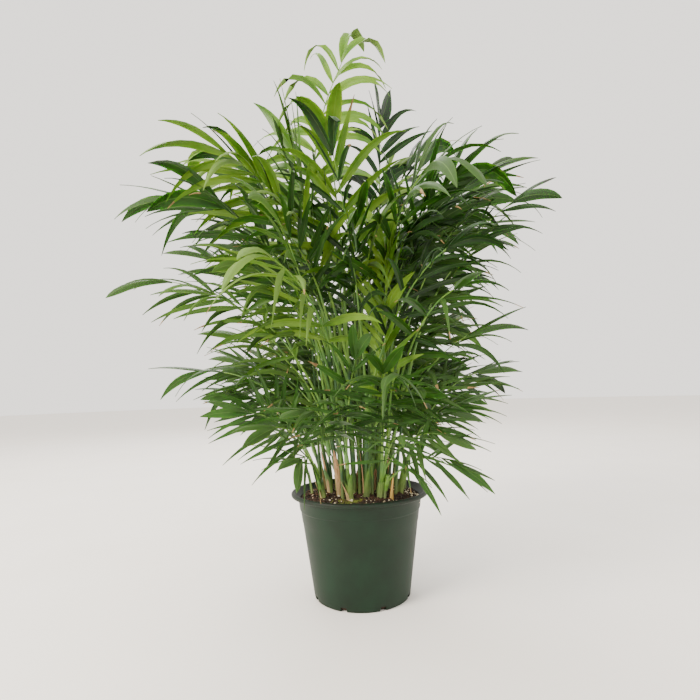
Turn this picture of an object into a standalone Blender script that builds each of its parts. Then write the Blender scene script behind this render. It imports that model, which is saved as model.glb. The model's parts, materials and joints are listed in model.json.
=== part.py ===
"""Parlour palm in its nursery pot: a clump of thin stems, their feather-leaved fronds, the
potting mix and the tapered plastic pot. Metres, +Z up, the origin under the middle of the pot.
Azimuths run from +X (0 degrees) towards +Y (90), and -Y is the side that faces the viewer."""

import math
import random

import bmesh
import bpy
import numpy as np
from mathutils import Matrix, Vector
from mathutils.bvhtree import BVHTree

UP = Vector((0.0, 0.0, 1.0))
GAP = 0.0003

# Pot, the trade's 6 inch azalea pot: 165 mm over the rim and about three quarters as tall
POT_HEIGHT = 0.121
POT_RIM_RADIUS = 0.0825
POT_FOOT_RADIUS = 0.0565
POT_WALL = 0.0016
POT_FLOOR = 0.0020
LIP_HEIGHT = 0.0055
LIP_OVERHANG = 0.0080
BAND_HEIGHT = 0.0145
BAND_STEP = 0.0012
POT_STEPS = 36
NOTCH_COUNT = 8
NOTCH_WIDTH = 0.007
NOTCH_HEIGHT = 0.005
NOTCH_DEPTH = 0.010

# Potting mix, a plug that fills the pot to a finger's width under the rim
SOIL_LEVEL = 0.109
SOIL_EDGE_DROP = 0.0015
SOIL_FLAT = 0.0660

# Tall plants stand in the middle. Each row is one plant: the azimuth it stands at, its stem's
# height, and two fronds, each with its azimuth, length, and lean at its foot and at its tip.
TALL = dict(
    ring=0.022, lean=6, leaflet=0.098, width=0.0185, pairs=5, shade="leaf_mature"
)
TALL_PLANTS = (
    (352, 0.165, (357, 0.245, 18, 46), (22, 0.255, 18, 80)),
    (38, 0.180, (30, 0.255, 5, 26), (58, 0.255, 22, 86)),
    (84, 0.175, (72, 0.275, 12, 50), (96, 0.265, 22, 84)),
    (131, 0.160, (118, 0.320, 10, 44), (141, 0.270, 20, 82)),
    (172, 0.180, (10, 0.385, -8, 26), (164, 0.315, 14, 52)),
    (206, 0.170, (172, 0.225, 5, 14), (186, 0.275, 20, 82)),
    (252, 0.160, (224, 0.265, 16, 74), (262, 0.235, 6, 46)),
    (305, 0.155, (290, 0.235, 16, 78), (326, 0.235, 12, 60)),
)

# Plants of the two outer rings: how many, how far out, their stems, and their two fronds
MIDDLE = dict(
    count=8, turn=4, ring=0.037, height=(0.080, 0.125), lean=14, leaflet=0.084,
    width=0.0165, pairs=3, lengths=(0.225, 0.255), leans=((26, 80), (14, 52)),
    shade="leaf_mature",
)
SKIRT = dict(
    count=8, turn=27, ring=0.050, height=(0.028, 0.055), lean=19, leaflet=0.062,
    width=0.0135, pairs=2, lengths=(0.105, 0.135), leans=((30, 92), (18, 62)),
    shade="leaf_deep",
)
FROND_SPREAD = 23

# How far plants and fronds stray from those values: shares of a size, or degrees either way
TALL_RING_SHARES = (0.75, 1.20)
RING_SHARES = (0.93, 1.05)
LENGTH_SHARES = (0.85, 1.12)
PLANT_TURN = 8
FROND_TURN = 7
FROND_TILT = 6
SEED = 11

# Plants with a third frond, which leaves the side of the stem. It leans further out.
SIDE_FRONDS = (1, 4, 6, 9, 11, 13, 15, 17, 20, 22)
SIDE_HEIGHT = 0.62
SIDE_LENGTH = 0.85
SIDE_LEANS = (12, 10)
SIDE_GAP = 0.0005

# Plants whose fronds are the newest, and bright lime
YOUNG_PLANTS = (4, 6, 11)

# Stems, petioles and the midribs of the fronds
STEM_FOOT_RADIUS = 0.0036
STEM_RADIUS = 0.0027
STEM_TIP_RADIUS = 0.0021
STEM_PLUMB = 0.008
STEM_POINTS = 6
STEM_BEND_POWER = 0.5
SHEATH_RADIUS = 0.0028
SHEATH_LENGTH = 0.011
SHEATH_TAPER = 0.8
TUBE_SIDES = 6
MIDRIB_FOOT_RADIUS = 0.0024
MIDRIB_TIP_RADIUS = 0.0016
MIDRIB_POINTS = 8
PETIOLE_SHARE = 0.40
BEND_POWER = 1.7

# Leaflets: angle to the midrib at the foot and tip of the row, lift over the midrib, droop.
# The row fills this stretch of the feathered part, and the sizes swell in its middle.
LEAFLET_ROW = (0.03, 0.96)
LEAFLET_SIZES = (0.80, 1.08)
SIZE_SWELL = (0.20, 0.92)
LEAFLET_ANGLES = (62, 34)
LEAFLET_LIFT = 16
LEAFLET_DROOP = 0.16
LEAFLET_WIDEST = 0.38
LEAFLET_THICKNESS = 0.0013
LEAFLET_ROOT = 0.00045
LEAFLET_ROOT_THICKNESS = 0.0007
RIDGE_SHARE = 0.6
LEAFLET_STAGGER = 0.0030
ROOT_SHARE = 0.14
END_PAIR_ANGLE = 19
END_PAIR_WIDTH = 1.45
SWINGS = (0, 14, -14, 28, -28)
SHORTENINGS = (1.0, 0.78, 0.58)

# Faces that lie this flat to each other are one face after the leaflets are joined on
FLAT_ANGLE = 1.5

# Clear space that a limb or leaflet keeps to pieces of other nodes
LIMB_CLEARANCE = 0.0012
LEAFLET_CLEARANCE = 0.0006
SAMPLE_STEP = 0.0025
SHEATH_SAMPLES = 8
PAIR_SAMPLES = 28
NUDGE = 3.0
MOST_NUDGES = 16
WELD = 1e-6
END_TOLERANCE = 1e-3

COLOURS = {
    "pot_plastic": ((0.030, 0.062, 0.042, 1.0), 0.38),
    "potting_mix": ((0.030, 0.021, 0.014, 1.0), 0.95),
    "stem_skin": ((0.190, 0.330, 0.080, 1.0), 0.50),
    "leaf_young": ((0.170, 0.380, 0.045, 1.0), 0.42),
    "leaf_mature": ((0.060, 0.200, 0.028, 1.0), 0.40),
    "leaf_deep": ((0.024, 0.098, 0.024, 1.0), 0.38),
}


def clear_scene():
    for obj in list(bpy.data.objects):
        bpy.data.objects.remove(obj, do_unlink=True)


def new_collection(name):
    collection = bpy.data.collections.new(name)
    bpy.context.scene.collection.children.link(collection)
    return collection


def material(name):
    colour, roughness = COLOURS[name]
    made = bpy.data.materials.get(name) or bpy.data.materials.new(name)
    made.use_nodes = True
    shader = made.node_tree.nodes["Principled BSDF"]
    shader.inputs["Base Color"].default_value = colour
    shader.inputs["Roughness"].default_value = roughness
    shader.inputs["Metallic"].default_value = 0.0
    return made


def add_object(name, data, collection, surface=None):
    obj = bpy.data.objects.new(name, data)
    collection.objects.link(obj)
    if surface:
        data.materials.append(material(surface))
    return obj


def hide_helper(obj):
    obj.hide_render = True
    obj.display_type = "WIRE"


def between(ends, share):
    return ends[0] + (ends[1] - ends[0]) * share


def heading(lean, azimuth):
    """Unit vector that leans by `lean` degrees from the vertical towards `azimuth`."""
    tilt, turn = math.radians(lean), math.radians(azimuth)
    out = math.sin(tilt)
    return Vector((out * math.cos(turn), out * math.sin(turn), math.cos(tilt)))


def stem_path(foot, height, lean, azimuth):
    """A stem stands plumb for its first millimetres, and then leans away from the middle."""
    path = [foot, foot + UP * STEM_PLUMB]
    steps = STEM_POINTS - 2
    for step in range(1, steps + 1):
        way = heading(lean * (step / steps) ** STEM_BEND_POWER, azimuth)
        path.append(path[-1] + way * ((height - STEM_PLUMB) / steps))
    return path


def frond_path(foot, length, leans, azimuth):
    """A frond rises steeply and then arches over, more and more towards its tip."""
    path = [foot]
    steps = MIDRIB_POINTS - 1
    for step in range(steps):
        bend = ((step + 0.5) / steps) ** BEND_POWER
        way = heading(between(leans, bend), azimuth)
        path.append(path[-1] + way * (length / steps))
    return path


def dense(path):
    """Points every few millimetres along a path, as an array."""
    points = []
    for start, end in zip(path, path[1:]):
        count = max(1, round((end - start).length / SAMPLE_STEP))
        points += [start.lerp(end, index / count) for index in range(count)]
    return np.array(points + [path[-1]])


class Limbs:
    """The limbs placed so far, as sampled points with their radii, to keep new ones clear."""

    def __init__(self):
        self.points = np.empty((0, 3))
        self.radii = np.empty(0)
        self.owners = np.empty(0, str)

    def add(self, path, radius, owner):
        points = dense(path)
        self.points = np.vstack([self.points, points])
        self.radii = np.append(self.radii, np.full(len(points), radius))
        self.owners = np.append(self.owners, np.full(len(points), owner))

    def clear(self, path, radius, kin):
        """Whether a path is clear. `kin` gives limbs that its first samples may lie close to."""
        points = dense(path)
        apart = np.linalg.norm(points[:, None] - self.points[None], axis=2)
        touching = apart < self.radii[None] + radius + LIMB_CLEARANCE
        for owner, samples in kin.items():
            touching[:samples, self.owners == owner] = False
        return not touching.any()

    def settle(self, make_path, azimuth, radius, owner, kin):
        """Turns a limb about its foot by small steps until its path is clear, and keeps it."""
        for turn in range(MOST_NUDGES):
            nudge = NUDGE * ((turn + 1) // 2) * (-1) ** turn
            path = make_path(azimuth + nudge)
            if self.clear(path, radius, kin):
                self.add(path, radius, owner)
                return path, azimuth + nudge
        raise ValueError(f"no clear way for limb {owner} at {azimuth:.0f} degrees")


def plan_plants(draw):
    """The list of plants: where each stands, its stem's height and lean, and its fronds."""

    def stray(most):
        return draw.uniform(-most, most)

    plants = []
    for azimuth, height, *fronds in TALL_PLANTS:
        ring = TALL["ring"] * draw.uniform(*TALL_RING_SHARES)
        fronds = [(frond[0], frond[1], frond[2:]) for frond in fronds]
        plants.append(dict(tier=TALL, azimuth=azimuth, ring=ring, height=height, fronds=fronds))
    for tier in (MIDDLE, SKIRT):
        for index in range(tier["count"]):
            azimuth = tier["turn"] + 360 * index / tier["count"] + stray(PLANT_TURN)
            fronds = []
            for side, length, leans in zip((1, -1), tier["lengths"], tier["leans"]):
                way = azimuth + side * FROND_SPREAD * (-1) ** index + stray(FROND_TURN)
                tilt = stray(FROND_TILT)
                bent = (leans[0] + tilt, leans[1] + 2 * tilt)
                fronds.append((way, length * draw.uniform(*LENGTH_SHARES), bent))
            ring = tier["ring"] * draw.uniform(*RING_SHARES)
            height = draw.uniform(*tier["height"])
            plants.append(dict(tier=tier, azimuth=azimuth, ring=ring, height=height, fronds=fronds))
    for number in YOUNG_PLANTS:
        plants[number]["shade"] = "leaf_young"
    return plants


def grow_stems(plants, limbs):
    for number, plant in enumerate(plants):
        foot = heading(90, plant["azimuth"]) * plant["ring"] + UP * (SOIL_LEVEL + GAP)

        def way_up(azimuth):
            return stem_path(foot, plant["height"], plant["tier"]["lean"], azimuth)

        name = f"stem_{number + 1:02d}"
        plant["stem"], _ = limbs.settle(way_up, plant["azimuth"], STEM_FOOT_RADIUS, name, {})


def grow_frond(limbs, name, seat, along, frond, kin):
    """The midrib of one frond that starts inside the sheath at `seat`."""
    azimuth, length, leans = frond
    foot = seat + along * (0.5 * SHEATH_LENGTH)

    def way_out(way):
        return frond_path(foot, length, leans, way)

    return limbs.settle(way_out, azimuth, MIDRIB_FOOT_RADIUS, name, kin)


def grow_fronds(plants, limbs):
    """The nodes that hold fronds: a pair on top of each stem, and single ones at some sides."""
    nodes = []
    for number, plant in enumerate(plants):
        name, stem = f"fronds_{number + 1:02d}", plant["stem"]
        along = (stem[-1] - stem[-2]).normalized()
        seat = stem[-1] + along * GAP
        kin = {name: PAIR_SAMPLES, f"stem_{number + 1:02d}": SHEATH_SAMPLES}
        midribs = [
            grow_frond(limbs, name, seat, along, frond, kin) for frond in plant["fronds"]
        ]
        nodes.append(dict(name=name, plant=plant, seat=seat, along=along, midribs=midribs))
    for number in SIDE_FRONDS:
        plant = plants[number]
        name, stem = f"side_frond_{number + 1:02d}", plant["stem"]
        place = 1 + SIDE_HEIGHT * (len(stem) - 2)
        start, end = stem[int(place)], stem[int(place) + 1]
        along = (end - start).normalized()
        azimuth, length, leans = plant["fronds"][0]
        azimuth += FROND_SPREAD * (-1) ** number
        leans = (leans[0] + SIDE_LEANS[0], leans[1] + SIDE_LEANS[1])
        level = heading(90, azimuth)
        out = (level - along * level.dot(along)).normalized()
        # A six-sided tube's radius, halfway between its corners and its flats
        offset = 0.5 * (1 + math.cos(math.pi / TUBE_SIDES)) * (STEM_RADIUS + SHEATH_RADIUS)
        seat = start.lerp(end, place % 1) + out * (offset + SIDE_GAP)
        frond = (azimuth, length * SIDE_LENGTH, leans)
        kin = {f"stem_{number + 1:02d}": SHEATH_SAMPLES}
        midribs = [grow_frond(limbs, name, seat, along, frond, kin)]
        nodes.append(dict(name=name, plant=plant, seat=seat, along=along, midribs=midribs))
    return nodes


def poly_curve(name, path, radii, collection):
    curve = bpy.data.curves.new(name, "CURVE")
    curve.dimensions = "3D"
    curve.use_fill_caps = True
    spline = curve.splines.new("POLY")
    spline.points.add(len(path) - 1)
    for point, place, radius in zip(spline.points, path, radii):
        point.co = (*place, 1.0)
        point.radius = radius
    return add_object(name, curve, collection)


def section_guide(collection):
    """The three-sided section that petioles and midribs are drawn with, of radius 1."""
    curve = bpy.data.curves.new("midrib_section", "CURVE")
    curve.dimensions = "2D"
    spline = curve.splines.new("POLY")
    spline.points.add(2)
    for index, point in enumerate(spline.points):
        turn = math.radians(90 + 120 * index)
        point.co = (math.cos(turn), math.sin(turn), 0.0, 1.0)
    spline.use_cyclic_u = True
    guide = add_object("midrib_section", curve, collection)
    hide_helper(guide)
    return guide


def welded_mesh(obj):
    """The evaluated mesh of a curve, with its loose caps welded on. The curve is removed."""
    bpy.context.view_layer.update()
    graph = bpy.context.evaluated_depsgraph_get()
    mesh = bpy.data.meshes.new_from_object(obj.evaluated_get(graph))
    shape = bmesh.new()
    shape.from_mesh(mesh)
    bmesh.ops.remove_doubles(shape, verts=shape.verts, dist=WELD)
    bmesh.ops.recalc_face_normals(shape, faces=shape.faces)
    shape.to_mesh(mesh)
    shape.free()
    mesh.transform(obj.matrix_world)
    bpy.data.objects.remove(obj, do_unlink=True)
    return mesh


def make_stem(name, path, collection):
    """A tapering stem that flares at its foot, cut flat where it meets the mix."""
    steps = len(path) - 2
    radii = [STEM_FOOT_RADIUS]
    radii += [between((STEM_RADIUS, STEM_TIP_RADIUS), step / steps) for step in range(steps + 1)]
    obj = poly_curve(name, path, [radius / STEM_RADIUS for radius in radii], collection)
    obj.data.bevel_depth = STEM_RADIUS
    obj.data.bevel_resolution = (TUBE_SIDES - 4) // 2
    obj.data.materials.append(material("stem_skin"))
    return obj


def make_midrib(path, guide, collection):
    """Petiole and midrib in one tube, as a closed mesh."""
    steps = len(path) - 1
    ends = (MIDRIB_FOOT_RADIUS, MIDRIB_TIP_RADIUS)
    radii = [between(ends, step / steps) for step in range(steps + 1)]
    obj = poly_curve("midrib", path, radii, collection)
    obj.data.bevel_mode = "OBJECT"
    obj.data.bevel_object = guide
    return welded_mesh(obj)


def make_sheath(seat, along):
    """The short sleeve that a frond's petioles grow out of."""
    shape = bmesh.new()
    turn = UP.rotation_difference(along).to_matrix().to_4x4()
    middle = Matrix.Translation(seat + along * (0.5 * SHEATH_LENGTH))
    bmesh.ops.create_cone(
        shape,
        cap_ends=True,
        segments=TUBE_SIDES,
        radius1=SHEATH_RADIUS,
        radius2=SHEATH_TAPER * SHEATH_RADIUS,
        depth=SHEATH_LENGTH,
        matrix=middle @ turn,
    )
    mesh = bpy.data.meshes.new("sheath")
    shape.to_mesh(mesh)
    shape.free()
    return mesh


def leaflet_template():
    """A three-sided spike from z = 0 to 1 with one ring at the leaflet's widest place."""
    shape = bmesh.new()
    stand = Matrix.Translation((0.0, 0.0, 0.5))
    bmesh.ops.create_cone(
        shape, cap_ends=True, segments=3, radius1=1.0, radius2=0.0, depth=1.0, matrix=stand
    )
    bmesh.ops.remove_doubles(shape, verts=shape.verts, dist=WELD)
    bmesh.ops.bisect_plane(
        shape,
        geom=shape.verts[:] + shape.edges[:] + shape.faces[:],
        plane_co=(0.0, 0.0, LEAFLET_WIDEST),
        plane_no=UP,
    )
    mesh = bpy.data.meshes.new("leaflet")
    shape.to_mesh(mesh)
    shape.free()
    return mesh


def template_corners(template):
    """For each point of the template: how far along it is, and its place in the section,
    which is -1 or 1 across for the blade's edges and 1 up for its ridge."""
    places = []
    for vertex in template.vertices:
        turn = math.atan2(vertex.co.y, vertex.co.x)
        corner = round(turn / math.radians(120)) % 3
        across, up = ((0.0, 1.0), (-1.0, 0.0), (1.0, 0.0))[corner]
        places.append((vertex.co.z, across, up))
    return places


def blade_points(places, root, along, face, length, width, grow=0.0):
    """Places the template's points: a thin ridged blade that droops towards its tip."""
    across = face.cross(along).normalized()
    face = along.cross(across)
    points = []
    for share, side, up in places:
        middle = root + along * (length * share) - UP * (LEAFLET_DROOP * length * share**2)
        half, thick = 0.5 * width, LEAFLET_THICKNESS
        if share < END_TOLERANCE:
            half, thick = LEAFLET_ROOT, LEAFLET_ROOT_THICKNESS
        if share > 1 - END_TOLERANCE:
            half, thick = 0.0, 0.0
            middle = middle + along * grow
        lift = (up + RIDGE_SHARE - 1) * (thick + 2 * grow)
        points.append(middle + across * (side * (half + grow)) + face * lift)
    return points


def leaflet_spots(path, way, tier):
    """Where the leaflets of a frond start: root, heading, face, length and width of each."""
    pairs = tier["pairs"]
    steps = len(path) - 1
    spots = []
    for pair in range(pairs + 1):
        row = pair / pairs
        place = steps * between((PETIOLE_SHARE, 1), between(LEAFLET_ROW, row))
        start = int(place)
        tangent = (path[start + 1] - path[start]).normalized()
        middle = path[start].lerp(path[start + 1], place - start)
        level = heading(90, way + 90)
        above = level.cross(tangent)
        swell = math.sin(math.pi * between(SIZE_SWELL, row))
        length = tier["leaflet"] * between(LEAFLET_SIZES, swell)
        angle, width = between(LEAFLET_ANGLES, row), tier["width"]
        if pair == pairs:
            angle, width = END_PAIR_ANGLE, width * END_PAIR_WIDTH
        for side in (1, -1):
            root = middle + tangent * (0.5 * LEAFLET_STAGGER * side)
            spots.append((root, tangent, level * side, above, angle, length, width))
    return spots


def bvh_of(points, faces):
    return BVHTree.FromPolygons([tuple(point) for point in points], faces)


def box_of(points):
    stack = np.array(points)
    return stack.min(axis=0), stack.max(axis=0)


class Space:
    """The solids placed so far, each with its box, its search tree and the node it is in."""

    def __init__(self):
        self.items = []

    def add(self, points, faces, node=None):
        low, high = box_of(points)
        self.items.append((low, high, bvh_of(points, faces), node))

    def free(self, points, faces, own_node=None):
        """Whether a solid crosses none of those here, but for those of its own node."""
        low, high = box_of(points)
        tree = None
        for other_low, other_high, other_tree, node in self.items:
            if own_node and node == own_node:
                continue
            if (low > other_high).any() or (other_low > high).any():
                continue
            tree = tree or bvh_of(points, faces)
            if tree.overlap(other_tree):
                return False
        return True


def faces_of(mesh):
    return [tuple(polygon.vertices) for polygon in mesh.polygons]


def place_leaflet(spot, node, places, faces, space, row):
    """Finds a free way for one leaflet, turned or shortened a little, or None. The space holds
    all solids, and the row the blades of this frond, without the roots that they share."""
    root, tangent, side, above, angle, length, width = spot
    turn = math.radians(angle)
    for shortening in SHORTENINGS:
        for swing in SWINGS:
            lift = math.radians(LEAFLET_LIFT + swing)
            outward = side * math.cos(lift) + above * math.sin(lift)
            along = (tangent * math.cos(turn) + outward * math.sin(turn)).normalized()
            face = above * math.cos(lift) - side * math.sin(lift)
            size = length * shortening
            grown = blade_points(places, root, along, face, size, width, LEAFLET_CLEARANCE)
            rooted = root + along * (ROOT_SHARE * size)
            blade = blade_points(places, rooted, along, face, (1 - ROOT_SHARE) * size, width)
            if space.free(grown, faces, node) and row.free(blade, faces):
                leaflet = blade_points(places, root, along, face, size, width)
                space.add(leaflet, faces, node)
                row.add(blade, faces)
                return leaflet
    return None


def unite(name, first, others, collection, surface):
    """One Boolean union of a mesh and a list of meshes, applied. The helpers are removed."""
    parts = new_collection("parts_of_" + name)
    for index, mesh in enumerate(others):
        add_object(f"{name}_piece_{index}", mesh, parts)
    obj = add_object(name, first, collection, surface)
    modifier = obj.modifiers.new("join", "BOOLEAN")
    modifier.operation = "UNION"
    modifier.operand_type = "COLLECTION"
    modifier.collection = parts
    modifier.solver = "MANIFOLD"
    bpy.context.view_layer.update()
    graph = bpy.context.evaluated_depsgraph_get()
    joined = bpy.data.meshes.new_from_object(obj.evaluated_get(graph))
    obj.modifiers.clear()
    shape = bmesh.new()
    shape.from_mesh(joined)
    bmesh.ops.dissolve_limit(
        shape, angle_limit=math.radians(FLAT_ANGLE), verts=shape.verts, edges=shape.edges
    )
    loose_corners = [vertex for vertex in shape.verts if len(vertex.link_edges) == 2]
    bmesh.ops.dissolve_verts(shape, verts=loose_corners)
    shape.to_mesh(joined)
    shape.free()
    obj.data = joined
    for helper in list(parts.objects):
        bpy.data.objects.remove(helper, do_unlink=True)
    bpy.data.collections.remove(parts)
    return obj


def make_fronds(nodes, space, collection, helpers):
    """Every frond: sheath, midribs and leaflets, joined by node. Leaflets are placed from the
    tips down, in turn from frond to frond, so that each frond gets its share of the room."""
    guide = section_guide(helpers)
    template = leaflet_template()
    places = template_corners(template)
    faces = faces_of(template)
    meshes, rows, queue = {}, {}, []
    for node in nodes:
        name, tier = node["name"], node["plant"]["tier"]
        meshes[name] = [make_sheath(node["seat"], node["along"])]
        rows[name] = Space()
        for path, way in node["midribs"]:
            meshes[name].append(make_midrib(path, guide, helpers))
            spots = reversed(leaflet_spots(path, way, tier))
            queue += [(rank, name, spot) for rank, spot in enumerate(spots)]
        for mesh in meshes[name]:
            space.add([vertex.co.copy() for vertex in mesh.vertices], faces_of(mesh), name)
    queue.sort(key=lambda entry: entry[0])
    for rank, name, spot in queue:
        points = place_leaflet(spot, name, places, faces, space, rows[name])
        if points is None:
            continue
        leaflet = template.copy()
        for vertex, point in zip(leaflet.vertices, points):
            vertex.co = point
        meshes[name].append(leaflet)
    for node in nodes:
        name, plant = node["name"], node["plant"]
        shade = plant.get("shade", plant["tier"]["shade"])
        unite(name, meshes[name][0], meshes[name][1:], collection, shade)


def wall_radius(height):
    """Outer radius of the pot's wall below its band, at a height over the foot."""
    under_lip = POT_RIM_RADIUS - LIP_OVERHANG - BAND_STEP
    return POT_FOOT_RADIUS + (under_lip - POT_FOOT_RADIUS) * height / (POT_HEIGHT - LIP_HEIGHT)


def turned(name, profile, collection, surface):
    """A profile of (radius, height) points, turned about the vertical axis."""
    shape = bmesh.new()
    points = [shape.verts.new((radius, 0.0, height)) for radius, height in profile]
    for start, end in zip(points, points[1:]):
        shape.edges.new((start, end))
    mesh = bpy.data.meshes.new(name)
    shape.to_mesh(mesh)
    shape.free()
    obj = add_object(name, mesh, collection, surface)
    screw = obj.modifiers.new("turn", "SCREW")
    screw.axis = "Z"
    screw.steps = screw.render_steps = POT_STEPS
    screw.use_merge_vertices = True
    screw.merge_threshold = 1e-5
    return obj


def make_pot(collection, cutters):
    """Thin tapered pot with a rolled lip, a raised band under it and drain notches."""
    lip_radius = 0.5 * LIP_HEIGHT
    lip_middle = POT_HEIGHT - lip_radius
    band_low = POT_HEIGHT - LIP_HEIGHT - BAND_HEIGHT
    under_lip = POT_HEIGHT - LIP_HEIGHT
    band_top_radius = wall_radius(under_lip) + BAND_STEP
    profile = [
        (0.0, POT_FLOOR),
        (wall_radius(POT_FLOOR) - POT_WALL, POT_FLOOR),
        (wall_radius(band_low) - POT_WALL, band_low),
        (wall_radius(under_lip) - POT_WALL + BAND_STEP, under_lip),
        (band_top_radius, POT_HEIGHT),
    ]
    for step in range(4):
        turn = math.radians(90 - 60 * step)
        across = POT_RIM_RADIUS - lip_radius + lip_radius * math.cos(turn)
        profile.append((across, lip_middle + lip_radius * math.sin(turn)))
    profile += [
        (band_top_radius, under_lip),
        (wall_radius(band_low) + BAND_STEP, band_low),
        (wall_radius(band_low - BAND_STEP), band_low - BAND_STEP),
        (POT_FOOT_RADIUS, 0.0),
        (0.0, 0.0),
    ]
    pot = turned("pot", profile, collection, "pot_plastic")
    shape = bmesh.new()
    for index in range(NOTCH_COUNT):
        turn = Matrix.Rotation(math.radians(360 * (index + 0.5) / NOTCH_COUNT), 4, "Z")
        out = Matrix.Translation((POT_FOOT_RADIUS, 0.0, 0.0))
        size = Matrix.Diagonal((NOTCH_DEPTH, NOTCH_WIDTH, 2.0 * NOTCH_HEIGHT, 1.0))
        bmesh.ops.create_cube(shape, size=1.0, matrix=turn @ out @ size)
    mesh = bpy.data.meshes.new("drain_notches")
    shape.to_mesh(mesh)
    shape.free()
    notches = add_object("drain_notches", mesh, cutters)
    hide_helper(notches)
    cut = pot.modifiers.new("drain_notches", "BOOLEAN")
    cut.operation = "DIFFERENCE"
    cut.object = notches


def make_potting_mix(collection):
    """The plug of potting mix, clear of the pot's wall and floor, a little lower at the wall."""
    low = POT_FLOOR + GAP
    edge = SOIL_LEVEL - SOIL_EDGE_DROP
    profile = [
        (0.0, SOIL_LEVEL),
        (SOIL_FLAT, SOIL_LEVEL),
        (wall_radius(edge) - POT_WALL - GAP, edge),
        (wall_radius(low) - POT_WALL - GAP, low),
        (0.0, low),
    ]
    turned("potting_mix", profile, collection, "potting_mix")


def main():
    clear_scene()
    palm = new_collection("parlour_palm")
    helpers = new_collection("helpers")
    make_pot(palm, helpers)
    make_potting_mix(palm)
    plants = plan_plants(random.Random(SEED))
    limbs = Limbs()
    grow_stems(plants, limbs)
    nodes = grow_fronds(plants, limbs)
    space = Space()
    for number, plant in enumerate(plants):
        stem = make_stem(f"stem_{number + 1:02d}", plant["stem"], palm)
        bpy.context.view_layer.update()
        shape = stem.evaluated_get(bpy.context.evaluated_depsgraph_get()).to_mesh()
        space.add([vertex.co.copy() for vertex in shape.vertices], faces_of(shape), stem.name)
    make_fronds(nodes, space, palm, helpers)


main()
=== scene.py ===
"""Looks of a parlour palm in its nursery pot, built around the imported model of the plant.
Metres, +Z up, the origin under the middle of the pot. -Y is the side that faces the viewer."""

import json
import math
import random

import bpy
import numpy as np
from mathutils import Matrix, Vector
from mathutils.bvhtree import BVHTree
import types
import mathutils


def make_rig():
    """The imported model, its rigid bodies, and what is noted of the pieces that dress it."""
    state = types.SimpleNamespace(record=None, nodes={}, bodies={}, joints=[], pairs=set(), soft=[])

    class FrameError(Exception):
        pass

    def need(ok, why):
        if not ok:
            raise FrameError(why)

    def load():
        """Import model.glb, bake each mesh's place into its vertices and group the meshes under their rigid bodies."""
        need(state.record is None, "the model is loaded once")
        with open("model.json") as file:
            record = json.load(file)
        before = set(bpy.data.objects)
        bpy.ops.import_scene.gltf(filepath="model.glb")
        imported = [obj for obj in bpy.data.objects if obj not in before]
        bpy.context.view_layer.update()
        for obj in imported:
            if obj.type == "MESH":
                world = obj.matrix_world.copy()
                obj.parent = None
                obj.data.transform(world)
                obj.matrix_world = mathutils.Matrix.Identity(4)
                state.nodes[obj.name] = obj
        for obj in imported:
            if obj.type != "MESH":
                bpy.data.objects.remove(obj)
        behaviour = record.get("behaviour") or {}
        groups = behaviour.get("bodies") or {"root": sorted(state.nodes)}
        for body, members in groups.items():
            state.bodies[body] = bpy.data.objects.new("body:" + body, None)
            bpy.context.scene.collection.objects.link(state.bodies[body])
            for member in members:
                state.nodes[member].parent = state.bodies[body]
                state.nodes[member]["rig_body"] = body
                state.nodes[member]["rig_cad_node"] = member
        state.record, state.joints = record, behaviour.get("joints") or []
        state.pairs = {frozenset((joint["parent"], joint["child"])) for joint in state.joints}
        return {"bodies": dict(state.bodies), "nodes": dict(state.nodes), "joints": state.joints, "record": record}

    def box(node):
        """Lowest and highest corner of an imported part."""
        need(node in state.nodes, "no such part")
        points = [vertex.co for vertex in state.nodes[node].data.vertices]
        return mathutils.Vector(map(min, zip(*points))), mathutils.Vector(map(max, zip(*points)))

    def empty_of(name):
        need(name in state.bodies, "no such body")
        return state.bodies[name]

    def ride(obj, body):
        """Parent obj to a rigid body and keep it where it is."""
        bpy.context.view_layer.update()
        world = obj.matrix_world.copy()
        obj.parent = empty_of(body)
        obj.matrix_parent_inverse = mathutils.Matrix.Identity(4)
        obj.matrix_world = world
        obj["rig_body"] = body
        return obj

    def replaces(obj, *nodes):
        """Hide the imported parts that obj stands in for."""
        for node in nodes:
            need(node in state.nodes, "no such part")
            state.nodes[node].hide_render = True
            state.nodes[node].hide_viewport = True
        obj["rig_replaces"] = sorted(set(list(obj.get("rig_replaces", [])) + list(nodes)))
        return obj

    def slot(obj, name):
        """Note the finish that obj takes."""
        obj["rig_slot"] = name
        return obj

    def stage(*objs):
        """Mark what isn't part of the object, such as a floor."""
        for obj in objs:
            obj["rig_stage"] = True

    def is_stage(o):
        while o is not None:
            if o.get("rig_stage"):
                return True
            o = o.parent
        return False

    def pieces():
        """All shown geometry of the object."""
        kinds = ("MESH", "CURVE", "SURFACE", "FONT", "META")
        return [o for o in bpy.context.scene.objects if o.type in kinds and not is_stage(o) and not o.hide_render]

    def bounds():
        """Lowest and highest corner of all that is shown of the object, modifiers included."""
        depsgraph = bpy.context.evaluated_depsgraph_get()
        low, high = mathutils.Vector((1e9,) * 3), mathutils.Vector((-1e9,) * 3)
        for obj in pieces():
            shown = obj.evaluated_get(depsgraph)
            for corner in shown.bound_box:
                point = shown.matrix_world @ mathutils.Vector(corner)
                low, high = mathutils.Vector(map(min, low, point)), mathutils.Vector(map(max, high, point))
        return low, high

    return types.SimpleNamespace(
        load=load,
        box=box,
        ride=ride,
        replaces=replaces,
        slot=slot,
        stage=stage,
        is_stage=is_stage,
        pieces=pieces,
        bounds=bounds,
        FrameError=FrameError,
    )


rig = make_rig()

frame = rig.load()
cad_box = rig.bounds()


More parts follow.
